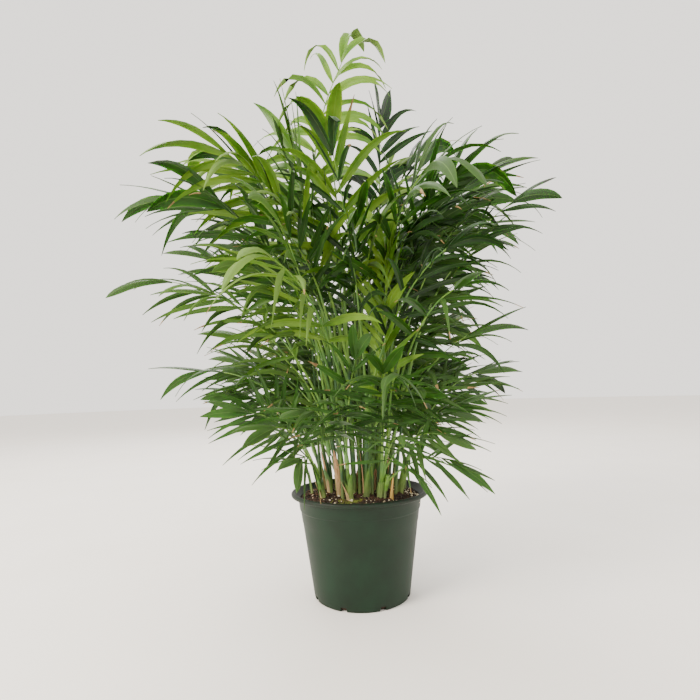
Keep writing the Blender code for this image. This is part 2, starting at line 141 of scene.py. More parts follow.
# The pot: a thin nursery pot, injection moulded from dark green polypropylene in one shot. Its
# rim is rolled over, a raised band runs under it, and drain notches are cut out of its foot.
POT_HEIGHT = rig.box("pot")[1].z
RIM_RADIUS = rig.box("pot")[1].x
FOOT_RADIUS = 0.0565
WALL = 0.0016
POT_FLOOR = 0.0020
LIP_HEIGHT = 0.0055
LIP_WIDTH = 0.0052
LIP_OVERHANG = 0.0080
LIP_TUCK, LIP_FLARE = 0.0005, 0.0014
FLARE_DROP, LIP_DROP = 0.0042, 0.0070
BEAD_INSET, BEAD_OUTSET, BEAD_RISE = 0.0003, 0.0006, 0.0001
BAND_HEIGHT = 0.0145
BAND_STEP = 0.0012
MOULD_LINE_DROP = 0.034
MOULD_LINE_STEP = 0.00035
FOOT_BEND = 0.0022
HUB_RADIUS = 0.018
RECESS_RADIUS = 0.0480
RECESS_DEPTH = 0.0010
WALL_START = 0.012
CREASE = 0.001
POT_SIDES = 144
NOTCH_COUNT = 8
NOTCH_WIDTH, NOTCH_HEIGHT, NOTCH_DEPTH = 0.007, 0.005, 0.010
NOTCH_BEVEL, EDGE_BEVEL = 0.0016, 0.0003


def wall_radius(height):
    """Outer radius of the pot's wall below its band, at a height over the foot."""
    lip_root = RIM_RADIUS - LIP_OVERHANG - BAND_STEP
    return FOOT_RADIUS + (lip_root - FOOT_RADIUS) * height / (POT_HEIGHT - LIP_HEIGHT)


def turn_profile(name, profile, sides):
    """A ring of edges raised from ring to ring of a profile of (radius, height), then closed."""
    bpy.ops.object.select_all(action="DESELECT")
    radius, height = profile[0]
    bpy.ops.mesh.primitive_circle_add(vertices=sides, radius=radius, location=(0, 0, height))
    piece = bpy.context.object
    piece.name = piece.data.name = name
    bpy.ops.object.transform_apply(location=True)
    bpy.ops.object.mode_set(mode="EDIT")
    bpy.ops.mesh.select_all(action="SELECT")
    for next_radius, next_height in profile[1:]:
        rise = (0, 0, next_height - height)
        bpy.ops.mesh.extrude_edges_move(TRANSFORM_OT_translate={"value": rise})
        share = next_radius / radius
        bpy.ops.transform.resize(value=(share, share, 1), center_override=(0, 0, 0))
        radius, height = next_radius, next_height
    bpy.ops.mesh.select_all(action="SELECT")
    bpy.ops.mesh.fill_holes(sides=0)
    bpy.ops.mesh.select_all(action="SELECT")
    bpy.ops.mesh.normals_make_consistent(inside=False)
    bpy.ops.object.mode_set(mode="OBJECT")
    return piece


def apply_modifier(piece, kind, **settings):
    """Adds one modifier with its settings and applies it."""
    bpy.context.view_layer.objects.active = piece
    modifier = piece.modifiers.new(kind.lower(), kind)
    for name, value in settings.items():
        setattr(modifier, name, value)
    bpy.ops.object.modifier_apply(modifier=modifier.name)


under_lip = POT_HEIGHT - LIP_HEIGHT
band_low = under_lip - BAND_HEIGHT
mould_line = POT_HEIGHT - MOULD_LINE_DROP
roll_radius = 0.5 * LIP_WIDTH
roll_middle = (RIM_RADIUS - roll_radius, POT_HEIGHT - roll_radius)
pot_profile = [
    (HUB_RADIUS, RECESS_DEPTH),
    (RECESS_RADIUS, RECESS_DEPTH),
    (RECESS_RADIUS + RECESS_DEPTH, 0.0),
]
for step in range(5):
    turn = math.radians(-90 + 20 * step)
    bend = FOOT_BEND * (1 + math.sin(turn))
    out = wall_radius(FOOT_BEND) - FOOT_BEND + FOOT_BEND * math.cos(turn)
    pot_profile.append((out, bend))
for height in np.linspace(WALL_START, mould_line - CREASE, 6):
    pot_profile.append((wall_radius(height), height))
pot_profile += [
    (wall_radius(mould_line) + MOULD_LINE_STEP, mould_line),
    (wall_radius(band_low - BAND_STEP) + MOULD_LINE_STEP, band_low - BAND_STEP),
    (wall_radius(band_low) + BAND_STEP, band_low),
    (wall_radius(under_lip) + BAND_STEP - BEAD_INSET, under_lip - CREASE),
    (wall_radius(under_lip) + BAND_STEP + BEAD_OUTSET, under_lip + 2 * BEAD_RISE),
    (roll_middle[0] - LIP_TUCK, under_lip + BEAD_RISE),
]
for step in range(12):
    turn = math.radians(-70 + 20 * step)
    across = roll_middle[0] + roll_radius * math.cos(turn)
    pot_profile.append((across, roll_middle[1] + roll_radius * math.sin(turn)))
pot_profile += [
    (roll_middle[0] - roll_radius - LIP_FLARE, POT_HEIGHT - FLARE_DROP),
    (wall_radius(under_lip) - WALL, POT_HEIGHT - LIP_DROP),
    (wall_radius(band_low) - WALL, band_low),
    (wall_radius(0.5 * band_low) - WALL, 0.5 * band_low),
    (wall_radius(POT_FLOOR) - WALL, POT_FLOOR + CREASE),
    (wall_radius(POT_FLOOR) - WALL - CREASE, POT_FLOOR),
    (HUB_RADIUS, POT_FLOOR),
]
pot = turn_profile("pot_shell", pot_profile, POT_SIDES)

for index in range(NOTCH_COUNT):
    bpy.ops.object.select_all(action="DESELECT")
    azimuth = math.radians(360 * (index + 0.5) / NOTCH_COUNT)
    spot = (FOOT_RADIUS * math.cos(azimuth), FOOT_RADIUS * math.sin(azimuth), 0.0)
    bpy.ops.mesh.primitive_cube_add(size=1.0, location=spot, rotation=(0, 0, azimuth))
    notch = bpy.context.object
    notch.scale = (NOTCH_DEPTH, NOTCH_WIDTH, 2 * NOTCH_HEIGHT)
    bpy.ops.object.transform_apply(location=True, rotation=True, scale=True)
    apply_modifier(notch, "BEVEL", width=NOTCH_BEVEL, segments=3, limit_method="ANGLE")
    apply_modifier(pot, "BOOLEAN", operation="DIFFERENCE", object=notch)
    bpy.data.objects.remove(notch, do_unlink=True)
apply_modifier(
    pot, "BEVEL", width=EDGE_BEVEL, segments=2, limit_method="ANGLE", angle_limit=math.radians(32)
)
bpy.ops.object.select_all(action="DESELECT")
pot.select_set(True)
bpy.context.view_layer.objects.active = pot
bpy.ops.object.shade_smooth_by_angle(angle=math.radians(40))


def colour(code):
    """An sRGB hex colour as the linear values that a shader takes."""
    parts = [int(code[start : start + 2], 16) / 255 for start in (1, 3, 5)]
    return tuple(c / 12.92 if c <= 0.04045 else ((c + 0.055) / 1.055) ** 2.4 for c in parts) + (1.0,)


def new_material(name, **settings):
    """A material with a Principled shader whose sockets take these values."""
    made = bpy.data.materials.new(name)
    made.use_nodes = True
    shader = made.node_tree.nodes["Principled BSDF"]
    for socket, value in settings.items():
        shader.inputs[socket.replace("_", " ")].default_value = value
    return made, made.node_tree, shader


def add_node(tree, kind, settings=None, links=None, ramp=()):
    """Adds one node. Settings and links go by a socket's name or number, or a node's property."""
    node = tree.nodes.new("ShaderNode" + kind)
    for name, value in (settings or {}).items():
        if isinstance(name, int) or name in node.inputs:
            node.inputs[name].default_value = value
        else:
            setattr(node, name, value)
    for name, source in (links or {}).items():
        tree.links.new(source, node.inputs[name])
    for stop, (position, code) in enumerate(ramp):
        node.color_ramp.elements[stop].position = position
        node.color_ramp.elements[stop].color = colour(code)
    return node


# Polypropylene: a soft satin shine with a faint orange peel from the mould, and flow lines that
# run round the wall. Towards the rim, inside and out, specks turn a near-black brown: partly dust
# from handling and splashed mix, partly painted shade of the dark rim.
PEEL_SIZE = 0.0015
CLOUD_SIZE = 0.030
SPECK_SIZE = 0.00238
FLOW_LENGTH, FLOW_WIDTH = 0.0167, 0.00111
# Where the specks of dust and painted shade begin under the rim, and where they are at their darkest
DUST_AND_SHADE_HEIGHT, DUST_AND_SHADE_DROP = 0.010, 0.002
polypropylene, tree, shader = new_material(
    "moulded_green_polypropylene", IOR=1.49, Metallic=0.0, Specular_IOR_Level=0.27
)
place = add_node(tree, "TexCoord").outputs["Object"]
clouds = add_node(
    tree, "TexNoise", {"Scale": 1 / CLOUD_SIZE, "Detail": 4.0, "Roughness": 0.55}, {"Vector": place}
)
greens = ((0.30, "#071B0D"), (0.72, "#0C2615"))
shade = add_node(tree, "ValToRGB", links={"Fac": clouds.outputs["Fac"]}, ramp=greens)
level = add_node(tree, "SeparateXYZ", links={"Vector": place})
near_rim = add_node(
    tree,
    "MapRange",
    {"From Min": band_low + DUST_AND_SHADE_HEIGHT, "From Max": POT_HEIGHT - DUST_AND_SHADE_DROP},
    {"Value": level.outputs["Z"]},
)
specks = add_node(
    tree, "TexNoise", {"Scale": 1 / SPECK_SIZE, "Detail": 3.0, "Roughness": 0.7}, {"Vector": place}
)
dust_and_shade_specks = add_node(
    tree, "MapRange", {"From Min": 0.42, "From Max": 0.62}, {"Value": specks.outputs["Fac"]}
)
dust_and_shade = add_node(
    tree,
    "Math",
    {"operation": "MULTIPLY"},
    {0: near_rim.outputs["Result"], 1: dust_and_shade_specks.outputs["Result"]},
)
# Near the rim the specks take a near-black brown: partly dust colour, partly painted shade.
finish = add_node(
    tree,
    "Mix",
    {"data_type": "RGBA", 7: colour("#15130D")},
    {0: dust_and_shade.outputs["Value"], 6: shade.outputs["Color"]},
)
tree.links.new(finish.outputs[2], shader.inputs["Base Color"])
dullness = add_node(
    tree, "MapRange", {"To Min": 0.46, "To Max": 0.60}, {"Value": clouds.outputs["Fac"]}
)
tree.links.new(dullness.outputs["Result"], shader.inputs["Roughness"])
flow_scale = (1 / FLOW_LENGTH, 1 / FLOW_LENGTH, 1 / FLOW_WIDTH)
flow = add_node(tree, "Mapping", {"Scale": flow_scale}, {"Vector": place})
lines = add_node(tree, "TexNoise", {"Scale": 1.0, "Detail": 2.0}, {"Vector": flow.outputs["Vector"]})
peel = add_node(tree, "TexNoise", {"Scale": 1 / PEEL_SIZE, "Detail": 2.0}, {"Vector": place})
both = add_node(
    tree, "Math", {"operation": "ADD"}, {0: lines.outputs["Fac"], 1: peel.outputs["Fac"]}
)
bump = add_node(
    tree, "Bump", {"Strength": 0.25, "Distance": 0.0002}, {"Height": both.outputs["Value"]}
)
tree.links.new(bump.outputs["Normal"], shader.inputs["Normal"])
pot.data.materials.append(polypropylene)
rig.replaces(pot, "pot")
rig.slot(pot, "pot_plastic")
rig.ride(pot, "root")


# The potting mix: a plug of dark peat and bark that fills the pot to just under its rim. It
# has settled into lumps, and lies a little lower where it meets the wall.
GAP = 0.0003
SOIL_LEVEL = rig.box("potting_mix")[1].z
SOIL_RINGS, SOIL_SIDES = 46, 120
SOIL_CORE = 0.010
SOIL_RIM_DROP, SOIL_CREASE, HEAP = 0.0075, 0.002, 0.0042
LUMP_SIZE, LUMP_HEIGHT = 0.024, 0.0050
CRUMB_SIZE, CRUMB_HEIGHT = 0.0050, 0.0026
LUMPS_RISE = 6  # the lumps fade out over the outer sixth
soil_edge = POT_HEIGHT - SOIL_RIM_DROP
soil_radius = wall_radius(soil_edge) - WALL - GAP
soil_low = POT_FLOOR + GAP
soil_profile = [(SOIL_CORE, soil_low), (wall_radius(soil_low) - WALL - GAP, soil_low)]
soil_profile.append((soil_radius, soil_edge - SOIL_CREASE))
for ring in range(SOIL_RINGS):
    share = 1 - ring / SOIL_RINGS
    soil_profile.append((soil_radius * share, soil_edge + HEAP * (1 - share**5)))
soil = turn_profile("mix_body", soil_profile, SOIL_SIDES)
lumpy = soil.vertex_groups.new(name="lumpy")
for vertex in soil.data.vertices:
    if vertex.co.z > soil_edge - GAP:
        inside = 1 - vertex.co.xy.length / soil_radius
        lumpy.add([vertex.index], min(1.0, LUMPS_RISE * inside), "REPLACE")
for size, height in ((LUMP_SIZE, LUMP_HEIGHT), (CRUMB_SIZE, CRUMB_HEIGHT)):
    pattern = bpy.data.textures.new("mix_relief", "CLOUDS")
    pattern.noise_scale = size
    apply_modifier(
        soil,
        "DISPLACE",
        texture=pattern,
        texture_coords="LOCAL",
        direction="Z",
        strength=height,
        mid_level=0.42,
        vertex_group="lumpy",
    )
soil.vertex_groups.clear()
bpy.ops.object.select_all(action="DESELECT")
soil.select_set(True)
bpy.context.view_layer.objects.active = soil
bpy.ops.object.shade_smooth_by_angle(angle=math.radians(50))

# Peat and composted bark, damp: dull, almost black, with brown where it has begun to dry.
GRIT_SIZE = 0.00263
peat, tree, shader = new_material("damp_peat", Roughness=0.92, IOR=1.4)
place = add_node(tree, "TexCoord").outputs["Object"]
grit = add_node(
    tree, "TexNoise", {"Scale": 1 / GRIT_SIZE, "Detail": 6.0, "Roughness": 0.75}, {"Vector": place}
)
browns = ((0.35, "#17110C"), (0.70, "#3B2A1D"))
shade = add_node(tree, "ValToRGB", links={"Fac": grit.outputs["Fac"]}, ramp=browns)
tree.links.new(shade.outputs["Color"], shader.inputs["Base Color"])
bump = add_node(tree, "Bump", {"Strength": 0.8, "Distance": 0.0010}, {"Height": grit.outputs["Fac"]})
tree.links.new(bump.outputs["Normal"], shader.inputs["Normal"])
soil.data.materials.append(peat)
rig.replaces(soil, "potting_mix")
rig.slot(soil, "potting_mix")
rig.ride(soil, "root")


# What lies loose on the mix: crumbs of bark, grains of white perlite, and a patch of moss at
# the front. Each kind is one grain modelled once, then set down many times over.
UP = Vector((0.0, 0.0, 1.0))
CRUMBS, PERLITE, MOSS_TUFTS = 2600, 340, 560
CRUMB_RADII, PERLITE_RADII, MOSS_RADII = (0.0006, 0.0016), (0.0005, 0.0014), (0.0005, 0.0009)
HEAPED_GRAINS, HEAP_PLACE, HEAP_SPREAD = 60, (0.060, -0.014), 0.005
CHIP_PLACE, CHIP_RISE, CHIP_SIZES = (-0.010, -0.053), 0.0008, (0.0026, 0.0015, 0.0020)
MOSS_PLACE, MOSS_SPREAD = (-0.012, -0.050), (0.0065, 0.0040)
GRAIN_SEED, GRAIN_REACH = 5, 0.0685
STAIN_SIZE, PORE_SIZE = 0.00385, 0.000714


def soil_height(x, y):
    """Height of the lumpy mix at a place, read off its mesh."""
    hit = soil_tree.ray_cast(Vector((x, y, POT_HEIGHT)), -UP)[0]
    return hit.z if hit else SOIL_LEVEL


def grain_template(subdivisions):
    """Points and faces of a rough ball of radius 1, dented so that it doesn't look turned."""
    bpy.ops.object.select_all(action="DESELECT")
    bpy.ops.mesh.primitive_ico_sphere_add(subdivisions=subdivisions, radius=1.0, location=(0, 0, 0))
    ball = bpy.context.object
    dents = bpy.data.textures.new("grain_dents", "CLOUDS")
    dents.noise_scale = 0.9
    apply_modifier(ball, "DISPLACE", texture=dents, strength=0.75, mid_level=0.5)
    points = np.array([vertex.co for vertex in ball.data.vertices])
    faces = np.array([tuple(polygon.vertices) for polygon in ball.data.polygons])
    bpy.data.objects.remove(ball, do_unlink=True)
    return points, faces


def random_turns(dice, count):
    """Random rotation matrices, from unit quaternions."""
    w, x, y, z = dice.normal(size=(4, count))
    norm = np.sqrt(w * w + x * x + y * y + z * z)
    w, x, y, z = w / norm, x / norm, y / norm, z / norm
    rows = [
        [1 - 2 * (y * y + z * z), 2 * (x * y - z * w), 2 * (x * z + y * w)],
        [2 * (x * y + z * w), 1 - 2 * (x * x + z * z), 2 * (y * z - x * w)],
        [2 * (x * z - y * w), 2 * (y * z + x * w), 1 - 2 * (x * x + y * y)],
    ]
    return np.array(rows).transpose(2, 0, 1)


def set_down(template, places, sizes, turns):
    """One array of points and one of faces that hold a copy of the template at each place."""
    points, faces = template
    moved = np.einsum("nij,npj->npi", turns, points[None] * sizes[:, None]) + places[:, None]
    offsets = np.arange(len(places)) * len(points)
    return moved.reshape(-1, 3), (faces[None] + offsets[:, None, None]).reshape(-1, faces.shape[1])


def joined_piece(name, points, faces, surfaces, slot, sharp=60, kinds=None, uv=None):
    """One object from arrays of points and faces, riding on the plant."""
    mesh = bpy.data.meshes.new(name)
    mesh.from_pydata(points, [], faces)
    for surface in surfaces:
        mesh.materials.append(surface)
    if kinds is not None:
        mesh.polygons.foreach_set("material_index", kinds)
    if uv is not None:
        layer = mesh.uv_layers.new(name="blade")
        layer.uv.foreach_set("vector", uv[faces.ravel()].astype(np.float32).ravel())
    mesh.shade_smooth()
    mesh.set_sharp_from_angle(angle=math.radians(sharp))
    mesh.update()
    piece = bpy.data.objects.new(name, mesh)
    bpy.context.scene.collection.objects.link(piece)
    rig.slot(piece, slot)
    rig.ride(piece, "root")
    return piece


bpy.context.view_layer.update()
soil_tree = BVHTree.FromObject(soil, bpy.context.evaluated_depsgraph_get())
dice = np.random.default_rng(GRAIN_SEED)


def on_the_mix(count, reach=GRAIN_REACH):
    """Random places on top of the mix, in a disc of this radius."""
    radius, azimuth = reach * np.sqrt(dice.random(count)), 2 * math.pi * dice.random(count)
    flat = np.stack([radius * np.cos(azimuth), radius * np.sin(azimuth)], axis=1)
    return np.array([(x, y, soil_height(x, y)) for x, y in flat])


def grain_material(name, low, high, roughness):
    """A dull mineral or bark finish, between two colours that change from grain to grain."""
    made, tree, shader = new_material(name, Roughness=roughness)
    place = add_node(tree, "TexCoord").outputs["Object"]
    spots = add_node(tree, "TexNoise", {"Scale": 1 / STAIN_SIZE, "Detail": 4.0}, {"Vector": place})
    tones = ((0.35, low), (0.65, high))
    shade = add_node(tree, "ValToRGB", links={"Fac": spots.outputs["Fac"]}, ramp=tones)
    tree.links.new(shade.outputs["Color"], shader.inputs["Base Color"])
    fine = add_node(tree, "TexNoise", {"Scale": 1 / PORE_SIZE, "Detail": 3.0}, {"Vector": place})
    bump = add_node(tree, "Bump", {"Strength": 0.5, "Distance": 0.0003}, {"Height": fine.outputs["Fac"]})
    tree.links.new(bump.outputs["Normal"], shader.inputs["Normal"])
    return made


def grain_radii(count, least_and_more, power):
    """A radius for each grain. The higher the power, the more of them are small."""
    least, more = least_and_more
    return least + more * dice.random((count, 1)) ** power


small, round_grain = grain_template(1), grain_template(2)
# Composted bark: dull and nearly black, and redder where a piece has split
sizes = grain_radii(CRUMBS, CRUMB_RADII, 2)
sizes = sizes * np.array([1.0, 0.7, 1.5]) ** (0.4 + dice.random((CRUMBS, 3)))
points, faces = set_down(small, on_the_mix(CRUMBS), sizes, random_turns(dice, CRUMBS))
bark = grain_material("composted_bark", "#140D08", "#46301F", 0.9)
joined_piece("mix_crumbs", points, faces, [bark], "potting_mix", sharp=35)

# Perlite: volcanic glass that heat has puffed up, chalky white and stained by the peat. Some of
# it has gathered at the right, and one larger chip lies on the moss.
sizes = grain_radii(PERLITE, PERLITE_RADII, 3) * (0.75 + 0.5 * dice.random((PERLITE, 3)))
places = on_the_mix(PERLITE)
for index in range(HEAPED_GRAINS):
    x, y = HEAP_PLACE + HEAP_SPREAD * dice.normal(size=2)
    places[index] = (x, y, soil_height(x, y))
places[HEAPED_GRAINS] = (*CHIP_PLACE, soil_height(*CHIP_PLACE) + CHIP_RISE)
sizes[HEAPED_GRAINS] = CHIP_SIZES
points, faces = set_down(round_grain, places, sizes, random_turns(dice, PERLITE))
perlite = grain_material("expanded_perlite", "#B9A988", "#E6DCC0", 0.85)
joined_piece("mix_perlite", points, faces, [perlite], "potting_mix", sharp=50)

# Cushion moss: olive tufts with no shine at all
places = np.array(MOSS_PLACE) + dice.normal(size=(MOSS_TUFTS, 2)) * MOSS_SPREAD
places = np.array([(x, y, soil_height(x, y)) for x, y in places])
sizes = grain_radii(MOSS_TUFTS, MOSS_RADII, 1) * np.ones(3)
points, faces = set_down(small, places, sizes, random_turns(dice, MOSS_TUFTS))
moss = grain_material("cushion_moss", "#40470F", "#6F7629", 0.95)
joined_piece("mix_moss", points, faces, [moss], "potting_mix", sharp=60)


# Stems: a clump of slim canes from many seedlings that share the pot. Each is wrapped in leaf
# sheaths that overlap like a telescope, pale where they were under the mix, green higher up.
def ring_quads(along, around):
    """Quads of a closed tube of rings, with both ends closed by strips of quads."""
    corner = np.arange(around)
    following = np.roll(corner, -1)
    quads = [
        np.stack([r + corner, r + following, r + around + following, r + around + corner], axis=1)
        for r in range(0, (along - 1) * around, around)
    ]
    strip = np.array([(i, i + 1, around - 2 - i, around - 1 - i) for i in range(around // 2 - 1)])
    quads += [strip[:, ::-1], strip + (along - 1) * around]
    return np.concatenate(quads)


def skin(rings):
    """Closes arrays of rings, (pieces, rings, corners, 3), into tubes: points and quads."""
    count, along, around, _ = rings.shape
    quads = ring_quads(along, around)
    offsets = np.arange(count) * along * around
    return rings.reshape(-1, 3), (quads[None] + offsets[:, None, None]).reshape(-1, 4)


def unit(vectors):
    """Each vector at length 1."""
    return vectors / np.linalg.norm(vectors, axis=-1, keepdims=True)


# The three kinds of seedling. "stout" is how thick their midribs are, "shades" are the greens of
# the fronds in between, "angles" say how leaflets stand off, and "limp" how far they droop.
TALL = dict(
    ring=0.022, lean=6, leaflet=0.098, width=0.0192, spacing=0.0150,
    shades=("fresh", "mature", "shaded", "mature"),
)
TALL_PLANTS = (
    (352, 0.165, (357, 0.245, 18, 46), (22, 0.255, 18, 80)),
    (38, 0.180, (30, 0.255, 5, 26), (58, 0.255, 22, 86)),
    (84, 0.175, (72, 0.275, 12, 50), (96, 0.265, 22, 84)),
    (131, 0.160, (118, 0.320, 10, 44), (141, 0.270, 20, 82)),
    (172, 0.180, (10, 0.385, -8, 26), (164, 0.315, 14, 52)),
    (206, 0.170, (172, 0.225, 5, 14), (186, 0.275, 20, 82)),
    (252, 0.160, (224, 0.265, 16, 74), (262, 0.235, 6, 46)),
    (305, 0.155, (290, 0.235, 16, 78), (326, 0.235, 12, 60)),
)
MIDDLE = dict(
    count=8, turn=4, ring=0.037, height=(0.080, 0.125), lean=14, leaflet=0.074,
    width=0.0152, spacing=0.0168, lengths=(0.225, 0.255), leans=((26, 80), (14, 52)),
    stout=0.85, shades=("mature", "shaded", "deep", "fresh"),
)
SKIRT = dict(
    count=8, turn=27, ring=0.050, height=(0.028, 0.055), lean=19, leaflet=0.062,
    width=0.0135, spacing=0.0105, lengths=(0.105, 0.135), leans=((30, 92), (18, 62)),
    stout=0.65, shades=("deep", "deep", "mature"), angles=(72, 22), limp=0.5,
)
FROND_SPREAD = 23
TALL_RING_SHARES = (0.75, 1.20)
RING_SHARES = (0.93, 1.05)
LENGTH_SHARES = (0.85, 1.12)
PLANT_TURN = 8
FROND_TURN = 7
FROND_TILT = 6
SEED = 11
YOUNG_PLANTS = (4, 6, 11)

# The sizes of a stem, and how far limbs keep clear of each other, as in the solids
STEM_FOOT_RADIUS = 0.0036
STEM_RADIUS = 0.0027
STEM_TIP_RADIUS = 0.0021
STEM_PLUMB = 0.008
STEM_POINTS = 6
STEM_BEND_POWER = 0.5
LIMB_CLEARANCE = 0.0012
SAMPLE_STEP = 0.0025
NUDGE = 3.0
MOST_NUDGES = 16


def between(ends, share):
    """The value at a share of the way from one end to the other."""
    return ends[0] + (ends[1] - ends[0]) * share


def heading(lean, azimuth):
    """Unit vector that leans by `lean` degrees from the vertical towards `azimuth`."""
    tilt, turn = math.radians(lean), math.radians(azimuth)
    out = math.sin(tilt)
    return Vector((out * math.cos(turn), out * math.sin(turn), math.cos(tilt)))


def stem_path(foot, height, lean, azimuth):
    """A stem stands plumb for its first millimetres, and then leans away from the middle."""
    path = [foot, foot + UP * STEM_PLUMB]
    steps = STEM_POINTS - 2
    for step in range(1, steps + 1):
        way = heading(lean * (step / steps) ** STEM_BEND_POWER, azimuth)
        path.append(path[-1] + way * ((height - STEM_PLUMB) / steps))
    return path


def dense(path):
    """Points every few millimetres along a path, as an array."""
    points = []
    for start, end in zip(path, path[1:]):
        count = max(1, round((end - start).length / SAMPLE_STEP))
        points += [start.lerp(end, index / count) for index in range(count)]
    return np.array(points + [path[-1]])


class Limbs:
    """The limbs placed so far, as sampled points with their radii, to keep new ones clear."""

    def __init__(self):
        self.points = np.empty((0, 3))
        self.radii = np.empty(0)
        self.owners = np.empty(0, str)

    def add(self, path, radius, owner):
        points = dense(path)
        self.points = np.vstack([self.points, points])
        self.radii = np.append(self.radii, np.full(len(points), radius))
        self.owners = np.append(self.owners, np.full(len(points), owner))

    def clear(self, path, radius, kin):
        """Whether a path is clear. `kin` gives limbs that its first samples may lie close to."""
        points = dense(path)
        reach = STEM_FOOT_RADIUS + radius + LIMB_CLEARANCE
        low, high = points.min(axis=0) - reach, points.max(axis=0) + reach
        near = np.all((self.points > low) & (self.points < high), axis=1)
        apart = np.linalg.norm(points[:, None] - self.points[None, near], axis=2)
        touching = apart < self.radii[None, near] + radius + LIMB_CLEARANCE
        for owner, samples in kin.items():
            touching[:samples, self.owners[near] == owner] = False
        return not touching.any()

    def settle(self, make_path, azimuth, radius, owner, kin):
        """Turns a limb about its foot by small steps until its path is clear, and keeps it."""
        for turn in range(MOST_NUDGES):
            nudge = NUDGE * ((turn + 1) // 2) * (-1) ** turn
            path = make_path(azimuth + nudge)
            if self.clear(path, radius, kin):
                self.add(path, radius, owner)
                return path, azimuth + nudge
        raise ValueError(f"no clear way for limb {owner} at {azimuth:.0f} degrees")


def plan_plants(draw):
    """The list of plants: where each stands, its stem's height and lean, and its fronds."""

    def stray(most):
        return draw.uniform(-most, most)

    plants = []
    for azimuth, height, *fronds in TALL_PLANTS:
        ring = TALL["ring"] * draw.uniform(*TALL_RING_SHARES)
        fronds = [(frond[0], frond[1], frond[2:]) for frond in fronds]
        plants.append(dict(tier=TALL, azimuth=azimuth, ring=ring, height=height, fronds=fronds))
    for tier in (MIDDLE, SKIRT):
        for index in range(tier["count"]):
            azimuth = tier["turn"] + 360 * index / tier["count"] + stray(PLANT_TURN)
            fronds = []
            for side, length, leans in zip((1, -1), tier["lengths"], tier["leans"]):
                way = azimuth + side * FROND_SPREAD * (-1) ** index + stray(FROND_TURN)
                tilt = stray(FROND_TILT)
                bent = (leans[0] + tilt, leans[1] + 2 * tilt)
                fronds.append((way, length * draw.uniform(*LENGTH_SHARES), bent))
            ring = tier["ring"] * draw.uniform(*RING_SHARES)
            height = draw.uniform(*tier["height"])
            plants.append(dict(tier=tier, azimuth=azimuth, ring=ring, height=height, fronds=fronds))
    return plants


def grow_stems(plants, limbs):
    """Gives each plant the path of its stem, clear of those before it."""
    for number, plant in enumerate(plants):
        foot = heading(90, plant["azimuth"]) * plant["ring"] + UP * (SOIL_LEVEL + GAP)

        def way_up(azimuth):
            return stem_path(foot, plant["height"], plant["tier"]["lean"], azimuth)

        name = f"stem_{number + 1:02d}"
        plant["stem"], _ = limbs.settle(way_up, plant["azimuth"], STEM_FOOT_RADIUS, name, {})


def smooth_path(path, count):
    """This many points, evenly spaced on a smooth curve through the path's own points."""
    ends = [2 * path[0] - path[1], *path, 2 * path[-1] - path[-2]]
    known = np.array(ends)
    share = np.linspace(0, len(path) - 1, 12 * len(path))
    start = np.minimum(share.astype(int), len(path) - 2)
    t = (share - start)[:, None]
    a, b, c, d = (known[start + offset] for offset in range(4))
    fine = 0.5 * (
        2 * b + (c - a) * t + (2 * a - 5 * b + 4 * c - d) * t**2 + (3 * b - a - 3 * c + d) * t**3
    )
    run = np.append(0, np.cumsum(np.linalg.norm(np.diff(fine, axis=0), axis=1)))
    even = np.linspace(0, run[-1], count)
    return np.stack([np.interp(even, run, fine[:, axis]) for axis in range(3)], axis=1)


def tube_rings(middles, radii, around, first_side=None):
    """Rings of points round a path, turned as little as can be from one ring to the next."""
    ways = unit(np.gradient(middles, axis=0))
    side = np.cross(ways[0], (0.3, 0.9, 0.1)) if first_side is None else first_side
    rings = []
    turns = np.arange(around) * 2 * math.pi / around
    for middle, way, radius in zip(middles, ways, radii):
        side = side - way * (side @ way)
        side = side / np.linalg.norm(side)
        other = np.cross(way, side)
        rings.append(
            middle + np.outer(np.cos(turns) * radius, side) + np.outer(np.sin(turns) * radius, other)
        )
    return np.array(rings)


# Fibres of coir and root lie on the mix, red-brown, dull and no thicker than a thread
FIBRES, FIBRE_RADIUS, FIBRE_STEPS = 170, 0.00022, 6
FIBRE_REACH, FIBRE_LENGTHS, FIBRE_CURL = 0.064, (0.004, 0.010), 0.7
FIBRE_LIFT, FIBRE_HUMP = 0.0003, 0.0012
ANY_WAY = 6.3  # about a full turn, in radians
fibre_rings = []
for x, y, _ in on_the_mix(FIBRES, reach=FIBRE_REACH):
    turn, curl = dice.random() * ANY_WAY, dice.normal() * FIBRE_CURL
    length = FIBRE_LENGTHS[0] + FIBRE_LENGTHS[1] * dice.random()
    spots = []
    for share in np.linspace(0, 1, FIBRE_STEPS + 1):
        hump = FIBRE_LIFT + FIBRE_HUMP * math.sin(math.pi * share)
        spots.append((x, y, soil_height(x, y) + hump))
        turn += curl / FIBRE_STEPS
        x += math.cos(turn) * length / FIBRE_STEPS
        y += math.sin(turn) * length / FIBRE_STEPS
    fibre_rings.append(tube_rings(np.array(spots), np.full(len(spots), FIBRE_RADIUS), 6))
points, faces = skin(np.array(fibre_rings))
coir = grain_material("coir_fibre", "#3F2414", "#7A4E2E", 0.8)
joined_piece("mix_fibres", points, faces, [coir], "potting_mix", sharp=60)

plants = plan_plants(random.Random(SEED))
limbs = Limbs()
grow_stems(plants, limbs)
